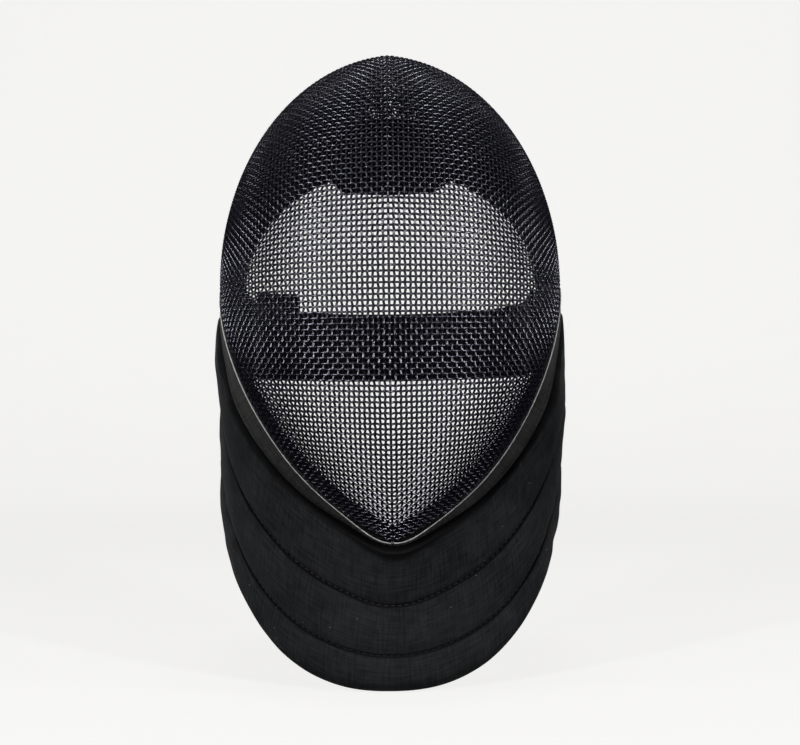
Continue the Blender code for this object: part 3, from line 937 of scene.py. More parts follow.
# %% [markdown]
# ## Edge tape and trim cord
#
# A wide strip of hard-wearing tape is folded over the raw ends of the wire and glued.  Its
# inner lip is thin, its face is nearly flat, and its lower rim is rolled, so it catches the
# light along the cheek and shades the bib below.  A pale twisted cord covers the seam between
# tape and wire.  The tape is one section carried along the edge line.

# %% The tape
#   part of the width | lift outside | lift inside, in millimetres
TAPE_SECTION = np.array((
    (-0.05, 0.95, -1.15),
    (0.00, 1.30, -1.40),
    (0.07, 1.50, -1.50),
    (0.25, 1.62, -1.50),
    (0.50, 1.66, -1.45),
    (0.70, 1.66, -1.40),
    (0.79, 1.72, -1.35),
    (0.86, 2.08, -1.25),
    (0.93, 2.18, -1.10),
    (0.985, 1.75, -0.85),
    (1.02, 0.85, -0.50),
))


def across_tape(stations, part, lift):
    """A point on each station's cross-section."""
    width = stations["width"][:, None]
    return stations["point"] + stations["away"] * width * part + stations["out"] * lift


def tape_face(column):
    """One face of the tape, from the column of the table that holds its lifts."""
    lines = [across_tape(edge, row[0], row[column] / 1000) for row in TAPE_SECTION]
    return np.stack(lines, axis=1)


tape_chart = flat_map(edge["run"][:, None], edge["width"][:, None] * TAPE_SECTION[None, :, 0])
tape, _ = sheet_wall("edge_tape_folded", tape_face(1), tape_face(2), tape_chart)
tape_chin = float(edge["run"][np.argmin(np.abs(edge["sweep"]))])
# The tape gets painted shade near the chin, where it turns under.
edge_tape_cloth = cloth_finish(
    "edge tape cloth", (0.0178, 0.0180, 0.0164), (0.0276, 0.0280, 0.0254), ribs, 1000, 0.00026,
    roughness=0.80, sheen=0.10, share=0.10, slub=0.5, chin=tape_chin, turn=(0.026, 0.046))
put_on(tape, "edge_tape", finish=edge_tape_cloth, slot="black_tape")
print("tape:", triangles(tape.data), "triangles")

# %% The trim cord, two strands twisted round each other
STRAND, TWIST = 0.00017, 0.0020            # a strand's distance from the middle; a full turn
STRAND_RADIUS = STRAND * 1.12              # so the strands press into each other a little
CORD_PART, CORD_LIFT = 0.01, 0.00170       # where it lies on the tape, and how high
CORD_END = 0.003                           # it stops this far before the rear edge
CORD_STEP = 0.00033                        # from one point of a strand to the next
front = edge["point"][:, 1] < REAR_EDGE_BACK - CORD_END
cord_out, cord_away = edge["out"][front], edge["away"][front]
cord_line = across_tape(edge, CORD_PART, 0.0)[front] + cord_out * CORD_LIFT
cord_run = run_along(cord_line)
fine_run = np.arange(0, cord_run[-1], CORD_STEP)
centre, out, away = (at_runs(cord_run, values, fine_run)
                     for values in (cord_line, cord_out, cord_away))
turn = (2 * pi * fine_run / TWIST)[:, None]
strands = [centre + STRAND * (out * np.cos(turn + start) + away * np.sin(turn + start))
           for start in (0, pi)]
trim = put_on(tubes("trim_cord", strands, STRAND_RADIUS, 1), "edge_piping",
              finish=trim_cord, slot="grey_piping")
print("trim cord:", triangles(trim.data), "triangles")

# %% [markdown]
# ## Jaw lining
#
# Inside the dome a strip of cloth keeps the cut wires off the chin.  Seen through the mesh it
# is the dark border above the trim.  It is a strip that keeps its distance from the wires.

# %% The lining
LINING_WIDTH, LINING_WALL = 0.0120, 0.0015
LINING_CLEAR = 0.0013       # from the middle of the wires to the cloth
LINING_RIM = 0.0002         # its two rims are thinner by this, its middle thicker
LINING_LAST_RADIUS = 0.036  # it ends where the edge comes this close to the ear axis
lining_sweep = np.linspace(-1, 1, 241)
low = lower_elevation(lining_sweep)
low_edge = dome_point(low, lining_sweep)
low_radius = np.hypot(low_edge[:, 1], low_edge[:, 2] + EAR_DROP)
kept = low_radius > LINING_LAST_RADIUS
lining_sweep, low, low_radius = lining_sweep[kept], low[kept], low_radius[kept]
rows_up = np.linspace(0, 1, 9)
height = rows_up[None, :] * LINING_WIDTH
elevation = low[:, None] + np.degrees(height / low_radius[:, None])
sheet = dome_point(elevation, lining_sweep[:, None])
aside = np.sign(lining_sweep)[:, None, None] * np.array([NUDGE, 0, 0])
inward = -unit(dome_slope(sheet + aside))
rim = LINING_RIM * np.cos(2 * pi * rows_up)[None, :, None]
lining, _ = sheet_wall("jaw_lining_strip", sheet + inward * LINING_CLEAR,
                       sheet + inward * (LINING_CLEAR + LINING_WALL - rim),
                       flat_map(run_along(sheet[:, 0])[:, None], height))
put_on(lining, "jaw_lining", finish=lining_cloth, slot="black_lining")
print("lining:", triangles(lining.data), "triangles")

# %% [markdown]
# ## Bib
#
# The bib guards the throat.  It is padded cotton, quilted by two seams that run round it, and
# it hangs from the tape.  Quilting pulls the cloth tight along the seams and lets the filling
# push it out between them.  The drape is laid out as a grid, from the tape's edge down to the
# hem, with grid lines exactly on the seams.  Then Blender's cloth solver blows the closed
# shell up a little while the seams are held, which gives the soft, uneven swelling and the
# small puckers that no formula has.

# %% Dimensions of the bib: the CAD's, except for the two seams
BIB_FRONT, BIB_BOTTOM = -0.051, -0.230
BIB_SIDE_Y, BIB_HALF_WIDTH, BIB_SHIFT = 0.037, 0.1000, -0.0014
BIB_ROUNDNESS, BIB_REAR_LOW, HEM_ROUND_SHARE = 0.84, -0.055, 0.62
BIB_SEAMS = (0.0, 0.432, 0.765, 1.0)    # top, the two seams and hem; the seams sit a little
                                        # lower than the CAD's grooves
BIB_SEAM_HALF, BIB_INNER_HALF, BIB_HEM_HALF = 0.0024, 0.0030, 0.0014
BIB_PUFF, BIB_PUFF_ROUNDNESS = 0.0034, 0.7
BIB_FLAT_REAR, BIB_FLAT_POWER = 0.75, 1.5
BIB_TUCK, BIB_STEP = 0.0035, 0.0034     # its top lies this far up under the tape; grid spacing
ROWS_PER_CHANNEL = 16
# The top channel's rows crowd where the cloth comes out of the tape.
TOP_CHANNEL = np.array((0, 0.05, 0.10, 0.122, 0.143, 0.165, 0.19, 0.23, 0.28, 0.36, 0.46, 0.57,
                        0.68, 0.79, 0.89, 0.96))
SEAM_NOTCH = 0.0013         # the thread pulls the outer cloth this much further in
TUCKED_OUTER, TUCKED_INNER, TUCKED_SHARES = -0.0040, 0.0056, (0.042, 0.085)   # under the tape
TOP_SHARE = 0.10            # over this share of the drape it turns from the tape's direction
HEM_FROM, HEM_SHARE = 0.955, 0.045      # over the last share it thins to the hem


def bib_hem(part, side):
    """The bottom edge from the middle (0) to a rear end (1)."""
    angle = np.clip(pi / 2 * part / HEM_ROUND_SHARE, 0, pi / 2)
    back = np.clip((part - HEM_ROUND_SHARE) / (1 - HEM_ROUND_SHARE), 0, 1)
    in_round = part <= HEM_ROUND_SHARE
    x = np.where(in_round, BIB_HALF_WIDTH * np.sin(angle) ** BIB_ROUNDNESS,
                 mix(BIB_HALF_WIDTH, BIB_REAR_HALF_WIDTH, back ** 2))
    y = np.where(in_round, mix(BIB_SIDE_Y, BIB_FRONT, np.cos(angle)),
                 mix(BIB_SIDE_Y, BIB_REAR, back))
    rise = mix(BIB_BOTTOM, BIB_REAR_LOW, (y - BIB_FRONT) / (BIB_REAR - BIB_FRONT))
    return np.stack([side * x + BIB_SHIFT * (1 - part ** 4), y, rise - EAR_DROP], axis=-1)


# %% The drape
hanger = edge_line(BIB_STEP)
chin = int(np.argmin(np.abs(hanger["sweep"])))
tops = across_tape(hanger, 1.0, 0.0) - hanger["away"] * BIB_TUCK
parts = np.abs(run_along(tops) - run_along(tops)[chin])      # from the chin (0) to an end (1)
sides = np.where(np.arange(len(tops)) >= chin, 1.0, -1.0)
parts[:chin] /= parts[0]
parts[chin:] /= parts[-1]
hems = bib_hem(parts, sides)
steps = (1 - np.cos(pi * np.arange(ROWS_PER_CHANNEL) / ROWS_PER_CHANNEL)) / 2
through = np.concatenate([TOP_CHANNEL, steps, steps, [0.0]])     # how far through its own channel
channel = np.repeat((0, 1, 2, 3), (ROWS_PER_CHANNEL, ROWS_PER_CHANNEL, ROWS_PER_CHANNEL, 1))
downs = np.interp(channel + through, range(4), BIB_SEAMS)
middle_sheet = tops[:, None] + (hems - tops)[:, None] * downs[None, :, None]
bib_out = unit(np.cross(np.gradient(middle_sheet, axis=1), np.gradient(middle_sheet, axis=0)))
bib_out = unit(mix(hanger["out"][:, None], bib_out, ease(downs / TOP_SHARE)[None, :, None]))
print("bib grid:", middle_sheet.shape[0], "x", middle_sheet.shape[1])

# %% Its two faces
puff = BIB_PUFF * (1 - BIB_FLAT_REAR * parts ** BIB_FLAT_POWER)[:, None]
swell = puff * np.sin(pi * through)[None, :] ** BIB_PUFF_ROUNDNESS
seam_rows = (ROWS_PER_CHANNEL, 2 * ROWS_PER_CHANNEL)
at_seam = np.isin(np.arange(len(downs)), seam_rows)
outer_half = BIB_SEAM_HALF + swell - SEAM_NOTCH * at_seam[None, :]
tucked = ease((downs - TUCKED_SHARES[0]) / (TUCKED_SHARES[1] - TUCKED_SHARES[0]))[None, :]
outer_half = mix(TUCKED_OUTER, outer_half, tucked)
hem_blend = ease((downs - HEM_FROM) / HEM_SHARE)[None, :]
outer_half = mix(outer_half, BIB_HEM_HALF, hem_blend)
inner_half = mix(np.full_like(outer_half, BIB_INNER_HALF), BIB_HEM_HALF, hem_blend)
inner_half = mix(TUCKED_INNER, inner_half, tucked)
bib_outer = middle_sheet + bib_out * outer_half[..., None]
bib_inner = middle_sheet - bib_out * inner_half[..., None]
print("bib at its thickest:", round(float((outer_half + inner_half).max()) * 1000, 1), "mm")

# %% Slack: where the cloth has gathered near the ears
#   middle of a lump | its reach | how far it stands out
LUMPS = (((0.103, 0.005, -0.204), (0.03, 0.03, 0.011), 0.0022),
         ((-0.103, 0.010, -0.1735), (0.03, 0.03, 0.007), 0.0015))
FOLD_MIDDLES = ((-0.066, -0.012, -0.262), (-0.060, -0.016, -0.271))
FOLD_HEADING, FOLD_LENGTH, FOLD_WIDTH, FOLD_LIFT = (0.92, 0.0, -0.38), 0.012, 0.0026, 0.0012
WAVE_LIFT, CREASE_LIFT = 0.0011, 0.0007


def lump_at(points, centre, reach):
    return np.exp(-0.5 * (((points - np.array(centre)) / reach) ** 2).sum(-1))


def cloth_noise(points, scale, seed):
    """Smooth noise from -1 to 1 at each point; seed shifts it, so that no two pieces match."""
    flat = points.reshape(-1, 3) * scale
    values = [noise.noise(Vector(point) + Vector((seed, 0, 0))) for point in flat]
    return np.array(values).reshape(points.shape[:-1])


def fold_along(points, fold_middle):
    """A soft ridge that runs along FOLD_HEADING in the front view."""
    along = unit(np.array(FOLD_HEADING))
    across = np.array((-along[2], 0.0, along[0]))
    apart = points - np.array(fold_middle)
    return np.exp(-0.5 * ((apart @ along / FOLD_LENGTH) ** 2 + (apart @ across / FOLD_WIDTH) ** 2
                          + (apart[..., 1] / 0.03) ** 2))


waves = cloth_noise(bib_outer * np.array([1.0, 1.0, 0.35]), 26.0, 3.0)
creases = cloth_noise(bib_outer * np.array([0.5, 0.5, 1.6]), 85.0, 9.0)
free = (ease(downs / 0.12) * (1 - ease((downs - 0.93) / 0.07)))[None, :]   # not near top or hem
between_seams = np.sin(pi * through)[None, :] ** 0.5
to_the_ears = ease((parts - 0.25) / 0.3)[:, None]
slack = WAVE_LIFT * waves * free
slack = slack + CREASE_LIFT * creases * free * to_the_ears * between_seams
for lump_middle, reach, lift in LUMPS:
    slack = slack + lift * lump_at(bib_outer, lump_middle, reach)
for fold_middle in FOLD_MIDDLES:
    slack = slack + FOLD_LIFT * fold_along(bib_outer, fold_middle) * free
bib_outer = bib_outer + bib_out * slack[..., None]
bib_inner = bib_inner + bib_out * (0.5 * slack * free)[..., None]
print("slack stands out by up to", round(float(slack.max()) * 1000, 1), "mm")

# %% Sew it shut and let the filling swell
bib_run = run_along(middle_sheet[:, len(downs) // 2])
bib_down = run_along(middle_sheet[chin])
bib, bib_numbers = sheet_wall("throat_bib", bib_outer, bib_inner,
                              flat_map(bib_run[:, None], bib_down[None, :]))


def swell_with_cloth(piece, held, pressure, growth, cap, frames=20):
    """Cloth solver with the held points pinned; no point may move further than cap."""
    group, held = piece.vertex_groups.new(name="held"), np.round(held, 2)
    for weight in np.unique(held):
        group.add([int(i) for i in np.flatnonzero(held == weight)], float(weight), "REPLACE")
    solver = piece.modifiers.new("cloth", "CLOTH")
    solver.settings.quality = 5
    solver.settings.mass = 0.2
    solver.settings.tension_stiffness = 20
    solver.settings.compression_stiffness = 20
    solver.settings.shear_stiffness = 8
    solver.settings.bending_stiffness = 0.15
    solver.settings.use_pressure = True
    solver.settings.uniform_pressure_force = pressure
    solver.settings.shrink_min = -growth
    solver.settings.effector_weights.gravity = 0
    solver.settings.vertex_group_mass = "held"
    solver.collision_settings.use_collision = False
    solver.point_cache.frame_start, solver.point_cache.frame_end = 1, frames
    for number in range(1, frames + 1):
        bpy.context.scene.frame_set(number)
    shape = as_shown(piece).data
    new, old = np.empty(len(held) * 3), np.empty(len(held) * 3)
    shape.vertices.foreach_get("co", new)
    piece.data.vertices.foreach_get("co", old)
    move = (new - old).reshape(-1, 3)
    length = np.linalg.norm(move, axis=-1, keepdims=True)
    move *= np.minimum(1, cap / np.maximum(length, 1e-9))
    piece.data.vertices.foreach_set("co", (old.reshape(-1, 3) + move).ravel())
    piece.modifiers.clear()
    piece.vertex_groups.clear()
    piece.data.update()
    bpy.context.scene.frame_set(1)
    print(piece.name, "moved by up to", round(float(length.max()) * 1000, 1), "mm")


# Held: all of the inner face, and on the outer one the top, the seams, the hem and both ends.
held = np.ones(len(bib.data.vertices))
held_rows = at_seam | np.isin(np.arange(len(downs)), (0, 1, len(downs) - 1))
held[bib_numbers[0]] = np.where(held_rows, 1.0, 0.0)[None, :]
held[bib_numbers[0][[0, 1, -2, -1]]] = 1.0
swell_with_cloth(bib, held, pressure=1.2, growth=0.004, cap=0.0025)
# Painted shade: dark in the seams, in the strip under the tape, and deeper there under the chin.
bib_cotton = cloth_finish("bib cotton", (0.0072, 0.0079, 0.0087), (0.0129, 0.0138, 0.0145),
                          thread_weave, 1300, 0.00018, roughness=0.93, sheen=0.05, share=0.22,
                          slub=0.6, seams=[float(bib_down[row]) for row in seam_rows],
                          tuck=0.0050, chin=float(bib_run[chin]))
put_on(round_up(bib), "bib", finish=bib_cotton, slot="black_cotton")
print("bib:", triangles(bib.data), "triangles")

# %% [markdown]
# ## Rear band and tongue
#
# A padded band closes the dome behind the crown and the ears, and the tongue hangs from it,
# a sprung plate in a cloth cover that grips the back of the head.  Both are soft walls with
# bound rims: thick in the middle, pinched by a line of stitches, and rolled at the edge.

# %% Dimensions of band and tongue, as in the CAD
BAND_EDGE_HALF_WIDTH, BAND_EDGE_RISE, BAND_EDGE_BACK, BAND_EDGE_BOW = 0.0965, 0.081, 0.080, 0.011
BAND_WALL, BAND_SEAT, CROWN_RISE = 0.0070, 0.0009, 0.115
TONGUE_TOP, TONGUE_BOTTOM, TONGUE_ROUNDING = 0.45, 1.40, 0.20
TONGUE_SWEEPS, TONGUE_WALL = (0.31, 0.215), 0.0050
PLY_GAP = 0.0003            # between a piece and the one that lies on it


def rear_elevation(sweep):
    """Where the dome, at each sweep, meets its leaning rear edge, by halving."""
    low, high = np.full(np.shape(sweep), 90.0), np.full(np.shape(sweep), 180.0)
    for _ in range(40):
        half = (low + high) / 2
        ahead = inside_rear_edge(dome_point(half, sweep)) > 0
        low, high = np.where(ahead, half, low), np.where(ahead, high, half)
    return high


def band_middle(sweep, part):
    """From the dome's rear edge (part 0) to the band's far edge (part 1)."""
    sweep, part = np.broadcast_arrays(sweep, part)
    start = dome_point(rear_elevation(sweep), sweep)
    around = np.arctan2(start[..., 0] / CORNER_X, (start[..., 2] + EAR_DROP) / CROWN_RISE)
    end = np.stack([BAND_EDGE_HALF_WIDTH * np.sin(around),
                    BAND_EDGE_BACK + BAND_EDGE_BOW * np.cos(around),
                    BAND_EDGE_RISE * np.cos(around) - EAR_DROP], axis=-1)
    first = start + unit(end - start) * BAND_SEAT
    return first + (end - first) * part[..., None]


def band_outward(sweep, part, step=0.002):
    sweep = np.clip(sweep, step - REAR_CORNER, REAR_CORNER - step)
    along = band_middle(sweep + step, part) - band_middle(sweep - step, part)
    across = band_middle(sweep, part + step) - band_middle(sweep, part - step)
    return unit(np.cross(along, across))


# %% A padded profile: rolled rim, stitched pinch, soft middle
def padded_profile(part, rim, middle_half, pinch_at):
    """Half thickness across a bound, padded strip.  part runs from 0 to 1."""
    near = np.minimum(part, 1 - part)
    roll = rim * np.sqrt(np.clip(1 - (1 - np.clip(near / pinch_at * 1.25, 0, 2)) ** 2, 0.02, 1))
    inwards = np.clip((near - pinch_at) / (1 - 2 * pinch_at), 0, 0.5)
    soft = mix(rim * 0.75, middle_half, np.clip(np.sin(pi * inwards), 0, 1) ** 0.6)
    return np.where(near < pinch_at, roll, soft)


# %% The band
BAND_PINCH = 0.12           # its stitches pinch it this share from each edge
BAND_RIM_HALF, BAND_MIDDLE_HALF = BAND_WALL / 2 * 0.66, BAND_WALL / 2 * 1.02
BAND_UNEVEN = 0.0006
BAND_CHART_WIDTH = 0.05
band_sweep = np.linspace(-REAR_CORNER, REAR_CORNER, 121)
band_part = np.concatenate([np.linspace(0, BAND_PINCH, 7),
                            np.linspace(BAND_PINCH, 1 - BAND_PINCH, 15)[1:],
                            np.linspace(1 - BAND_PINCH, 1, 7)[1:]])
half = padded_profile(band_part, BAND_RIM_HALF, BAND_MIDDLE_HALF, BAND_PINCH)
sheet = band_middle(band_sweep[:, None], band_part[None, :])
out = band_outward(band_sweep[:, None], band_part[None, :])
for end in (0, -1):                    # the ends stand on the tape
    sheet[end, :, 2] = PLY_GAP - EAR_DROP
    out[end] = unit(out[end] * np.array([1, 1, 0]))
wave = cloth_noise(sheet, 60.0, 1.0) * BAND_UNEVEN * np.sin(pi * band_part)[None, :]
thick = out * (half[None, :] + wave)[..., None]
band_chart = flat_map(run_along(sheet[:, len(band_part) // 2 + 1])[:, None],
                      (band_part * BAND_CHART_WIDTH)[None, :])
band, _ = sheet_wall("head_band", sheet + thick, sheet - thick, band_chart)
put_on(band, "rear_band", finish=padding_cloth, slot="black_padding")
print("band:", triangles(band.data), "triangles")

# %% The tongue
TONGUE_CORNER, TONGUE_CORNER_CUT = (0.72, 0.28), 0.10     # its lower corners rise from here on
TONGUE_ROLL, TONGUE_PINCH, TONGUE_SLOPE = 0.07, 0.10, 0.18   # rolled rim, seam, way to full width
TONGUE_CHART = (0.045, 0.055)


def tongue_place(across, down):
    """The tongue's points, before it goes under the band, and its directions out."""
    part = mix(TONGUE_TOP, TONGUE_BOTTOM - TONGUE_ROUNDING * across ** 2, down)
    corner = np.clip((np.abs(across) - TONGUE_CORNER[0]) / TONGUE_CORNER[1], 0, 1) ** 2
    part = part - TONGUE_CORNER_CUT * corner * ease((down - 0.6) / 0.4)
    sweep = across * mix(*TONGUE_SWEEPS, down)
    return band_middle(sweep, part), band_outward(sweep, part)


down_part = np.concatenate([np.linspace(0, 0.06, 5), np.linspace(0.06, 0.92, 19)[1:],
                            np.linspace(0.92, 1, 6)[1:]])
across_part = np.concatenate([np.linspace(-1, -0.90, 6), np.linspace(-0.90, 0.90, 35)[1:],
                              np.linspace(0.90, 1, 6)[1:]])
across, down = np.meshgrid(across_part, down_part, indexing="ij")
sheet, out = tongue_place(across, down)
near = np.minimum(1 - np.abs(across), np.minimum(down, 1 - down) * 2.2)    # to the nearest rim
roll = 0.72 * np.sqrt(np.clip(1 - (1 - np.clip(near / TONGUE_ROLL, 0, 1)) ** 2, 0.03, 1))
soft = mix(0.62, 1.0, ease((near - TONGUE_PINCH) / TONGUE_SLOPE))
thick = TONGUE_WALL / 2 * np.where(near < TONGUE_PINCH, roll, soft)
under_band = -(BAND_WALL / 2 + PLY_GAP + TONGUE_WALL / 2)
tongue, _ = sheet_wall("tongue_cover", sheet + out * (under_band + thick)[..., None],
                       sheet + out * (under_band - thick)[..., None],
                       flat_map(across * TONGUE_CHART[0], down * TONGUE_CHART[1]))
put_on(round_up(tongue), "tongue", finish=tongue_fabric, slot="tongue_cloth")
print("tongue:", triangles(tongue.data), "triangles")

# %% [markdown]
# ## Strap and tab
#
# A wide elastic strap joins the two rear ends of the bib behind the head.  On the left it is
# folded back into a short, stiffer tab.  Webbing is flat and keeps its width, so both are
# plain strips bent along their path, with thin rounded selvedges.

# %% Dimensions and path of the strap, as in the CAD
STRAP_HALF_SPAN, STRAP_BOW, STRAP_BOW_SHARE, STRAP_START = 0.0874, 0.042, 0.86, 0.044
STRAP_WALL, STRAP_HEIGHTS, STRAP_WIDTHS = 0.0025, (-0.0335, -0.0255), (0.045, 0.049)
TAB_SWEEP, TAB_WALL, TAB_HEIGHTS = (43.0, 76.0), 0.0022, (-0.048, 0.003)
SELVEDGE = 0.03             # share of a strip over which its edge is rounded off


def strap_path(part):
    """The strap's middle line from the left end (0) to the right end (1)."""
    side = 2 * part - 1
    bow = np.abs(side) <= STRAP_BOW_SHARE
    angle = pi / 2 * side / STRAP_BOW_SHARE
    straight = (BIB_REAR - STRAP_START) * (np.abs(side) - STRAP_BOW_SHARE) / (1 - STRAP_BOW_SHARE)
    x = np.where(bow, STRAP_HALF_SPAN * np.sin(angle), STRAP_HALF_SPAN * np.sign(side))
    y = np.where(bow, BIB_REAR + STRAP_BOW * np.cos(angle), BIB_REAR - straight)
    return np.stack([x, y, mix(*STRAP_HEIGHTS, side ** 2) - EAR_DROP], axis=-1)


def strap_outward(part, step=0.002):
    part = np.clip(part, step, 1 - step)
    along = (strap_path(part + step) - strap_path(part - step)) * np.array([1, 1, 0])
    return unit(np.cross([0, 0, 1], along))


def strip_profile(rows, wall, selvedge):
    """Half thickness across a flat strip: full inside, rounded off at both selvedges."""
    near = np.minimum(rows, 1 - rows)
    return wall / 2 * np.sqrt(np.clip(1 - (1 - np.clip(near / selvedge, 0, 1)) ** 2, 0.06, 1))


strip_rows = np.concatenate([[0, 0.008, 0.02, 0.04], np.linspace(0.08, 0.92, 15),
                             [0.96, 0.98, 0.992, 1]])

# %% The strap
RUBBER_LINES, RUBBER_LIFT = 10, 0.00011    # the elastic inside shows as faint raised lines
strap_part = np.linspace(0, 1, 161)
line, out = strap_path(strap_part), strap_outward(strap_part)
width = mix(*STRAP_WIDTHS, (2 * strap_part - 1) ** 2)
lift = (width[:, None] * (strip_rows[None, :] - 0.5))[..., None] * np.array([0, 0, 1.0])
sheet = line[:, None] + lift
half = strip_profile(strip_rows, STRAP_WALL, SELVEDGE)
ripple = RUBBER_LIFT * np.cos(2 * pi * strip_rows * RUBBER_LINES)
thick = out[:, None] * (half + ripple)[None, :, None]
strap, _ = sheet_wall("elastic_strap", sheet + thick, sheet - thick,
                      flat_map(run_along(line)[:, None], lift[..., 2]))
put_on(strap, "back_strap", finish=strap_webbing, slot="black_webbing")
print("strap:", triangles(strap.data), "triangles")

# %% The tab
TAB_END = 0.05              # share of its length over which each end is rounded off
on_strap = STRAP_WALL / 2 + PLY_GAP + TAB_WALL / 2
first, last = ((1 - STRAP_BOW_SHARE * degree / 90) / 2 for degree in reversed(TAB_SWEEP))
tab_part = np.linspace(first, last, 33)
end_round = strip_profile(np.linspace(0, 1, 33), 1.0, TAB_END)[:, None] * 2
line, out = strap_path(tab_part), strap_outward(tab_part)
sheet = np.repeat(line[:, None], len(strip_rows), axis=1)
sheet[..., 2] = mix(*TAB_HEIGHTS, strip_rows)[None, :] - EAR_DROP
half = strip_profile(strip_rows, TAB_WALL, SELVEDGE)[None, :] * end_round
centre, thick = sheet + out[:, None] * on_strap, out[:, None] * half[..., None]
tab, _ = sheet_wall("strap_fold", centre + thick, centre - thick,
                    flat_map(run_along(line)[:, None], sheet[..., 2]))
put_on(tab, "strap_tab", finish=tab_cloth, slot="tab_webbing")
print("tab:", triangles(tab.data), "triangles")


# %% [markdown]
# ## Stitches
#
# Every seam on the mask is sewn with a lock stitch: a dash of thread, a hole, a dash of thread.
# A dashed line in the material would do from afar.  Real dashes cast their own small shadows
# and stay round from near, so each one is a slim ball, stretched along the seam.  The ball is
# laid out point by point, so that every run stores the same points in the same order.  The
# lines are first drawn above the finished cloth and then dropped onto it.

# %% Dropping a line onto a piece
def laid_on(piece, points, outs, above=0.010):
    """Where rays from above each point, straight back along outs, meet the piece."""
    surface = BVHTree.FromObject(piece, bpy.context.evaluated_depsgraph_get())
    met = []
    for point, out in zip(points, outs):
        hit = surface.ray_cast(Vector(point + above * out), Vector(-out), 2.5 * above)[0]
        met.append(point if hit is None else np.array(hit))
    return np.array(met)


def both_faces(piece, line, out, above=0.010):
    """The same line, laid on a piece from outside and from inside."""
    return [(laid_on(piece, line, way * out, above), way * out) for way in (1, -1)]


# %% Sewing a line of stitches
STITCH_LIFT = 0.35          # a stitch's middle stands this share of its radius over the cloth
STITCH_SIDES, STITCH_STEPS = 6, 4       # faces round a stitch and along it
SEAM_STITCH = {"length": 0.0026, "gap": 0.0013}
BOX_STITCH = {"length": 0.0024, "gap": 0.0010}


def ball(sides, steps):
    """Points and faces of a ball of radius 1, with its poles on the third axis."""
    turn = 2 * pi * np.arange(sides) / sides + pi / 2
    fall = (pi * np.arange(1, steps) / steps)[:, None]
    rings = np.stack(np.broadcast_arrays(np.sin(fall) * np.cos(turn), np.sin(fall) * np.sin(turn),
                                         np.cos(fall)), axis=-1)
    points = np.concatenate([[(0, 0, 1)], rings.reshape(-1, 3), [(0, 0, -1)]])
    here = np.arange(1, len(points) - 1).reshape(steps - 1, sides)
    after = np.roll(here, -1, axis=1)
    caps = [(0, *pair) for pair in zip(here[0], after[0])]
    caps += [(len(points) - 1, *pair) for pair in zip(after[-1], here[-1])]
    walls = np.stack([here[1:], after[1:], after[:-1], here[:-1]], axis=-1).reshape(-1, 4)
    return points, [*caps, *walls]


def sewn(name, lines, slot, length=0.0023, gap=0.0012, radius=0.00024):
    """One mesh with the stitches of several lines.  Each line is its points and directions out."""
    ball_points, ball_faces = ball(STITCH_SIDES, STITCH_STEPS)
    laid = []
    for points, outs in lines:
        runs = run_along(points)
        count = max(1, int(runs[-1] // (length + gap)))
        middles = (np.arange(count) + 0.5) * runs[-1] / count
        places, lifts = at_runs(runs, points, middles), unit(at_runs(runs, outs, middles))
        ahead, behind = (at_runs(runs, points, middles + way * length / 3) for way in (1, -1))
        ways = unit(ahead - behind)
        lifts = unit(lifts - ways * (lifts * ways).sum(-1, keepdims=True))
        axes = np.stack([np.cross(lifts, ways) * radius, lifts * radius, ways * length / 2],
                        axis=1)
        places = places + lifts * radius * STITCH_LIFT
        laid.append(places[:, None] + ball_points @ axes)
    laid = np.concatenate(laid)
    faces = [[stitch * len(ball_points) + int(number) for number in face]
             for stitch in range(len(laid)) for face in ball_faces]
    mesh = bpy.data.meshes.new(name)
    mesh.from_pydata(laid.reshape(-1, 3), [], faces)
    mesh.shade_smooth()
    mesh.materials.append(black_thread)
    piece = add_object(name, mesh)
    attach(piece, "root")
    print(name, len(laid), "stitches,", triangles(mesh), "triangles")


# %% Seams of the bib and the tape
TAPE_SEAMS = ((0.79, 0.00172, 1), (0.50, -0.00145, -1))     # part of the width | lift | face


def bib_seam(sheet, row, way):
    out = way * bib_out[:, row]
    return laid_on(bib, sheet[:, row], out), out


sewn("stitches_bib", [bib_seam(sheet, row, way)
                      for sheet, way in ((bib_outer, 1), (bib_inner, -1)) for row in seam_rows],
     "black_cotton", **SEAM_STITCH)
sewn("stitches_tape", [(across_tape(edge, part, lift), way * edge["out"])
                       for part, lift, way in TAPE_SEAMS], "black_tape", **SEAM_STITCH)

# %% Rims of the band and the tongue
TONGUE_SEAM = np.array([(-0.90, 0.05), (-0.90, 0.955), (0.90, 0.955), (0.90, 0.05)])
sweeps = np.linspace(-REAR_CORNER * 0.985, REAR_CORNER * 0.985, 200)
rim_lines = []
for part in (0.125, 0.875):
    rim_lines += both_faces(band, band_middle(sweeps, part), band_outward(sweeps, part))
sewn("stitches_band", rim_lines, "black_padding")

leg = np.linspace(0, 1, 40)[:, None]
legs = [mix(start, end, leg) for start, end in zip(TONGUE_SEAM[:-1], TONGUE_SEAM[1:])]
across, down = np.concatenate([legs[0], legs[1][1:], legs[2][1:]]).T
line, out = tongue_place(across, down)
sewn("stitches_tongue", both_faces(tongue, line + out * under_band, out, 0.006), "tongue_cloth")


# %% Boxes that fix the strap, and the rim of the tab
def box_of(first, last, low, high, crossed):
    """Corners of a sewn box over the strap's parts and heights, as lines."""
    corners = [(first, low), (last, low), (last, high), (first, high), (first, low)]
    drawn = [np.array(pair) for pair in zip(corners[:-1], corners[1:])]
    if crossed:
        drawn += [np.array([(first, low), (last, high)]), np.array([(last, low), (first, high)])]
    return drawn


def strap_lines(piece, corners, way):
    """Straight lines over the strap, from end to end, dropped onto one of its faces."""
    lines = []
    for start, end in corners:
        part, height = mix(start, end, np.linspace(0, 1, 24)[:, None]).T
        points, outs = strap_path(part), way * strap_outward(part)
        points[:, 2] = height - EAR_DROP
        lines.append((laid_on(piece, points, outs), outs))
    return lines


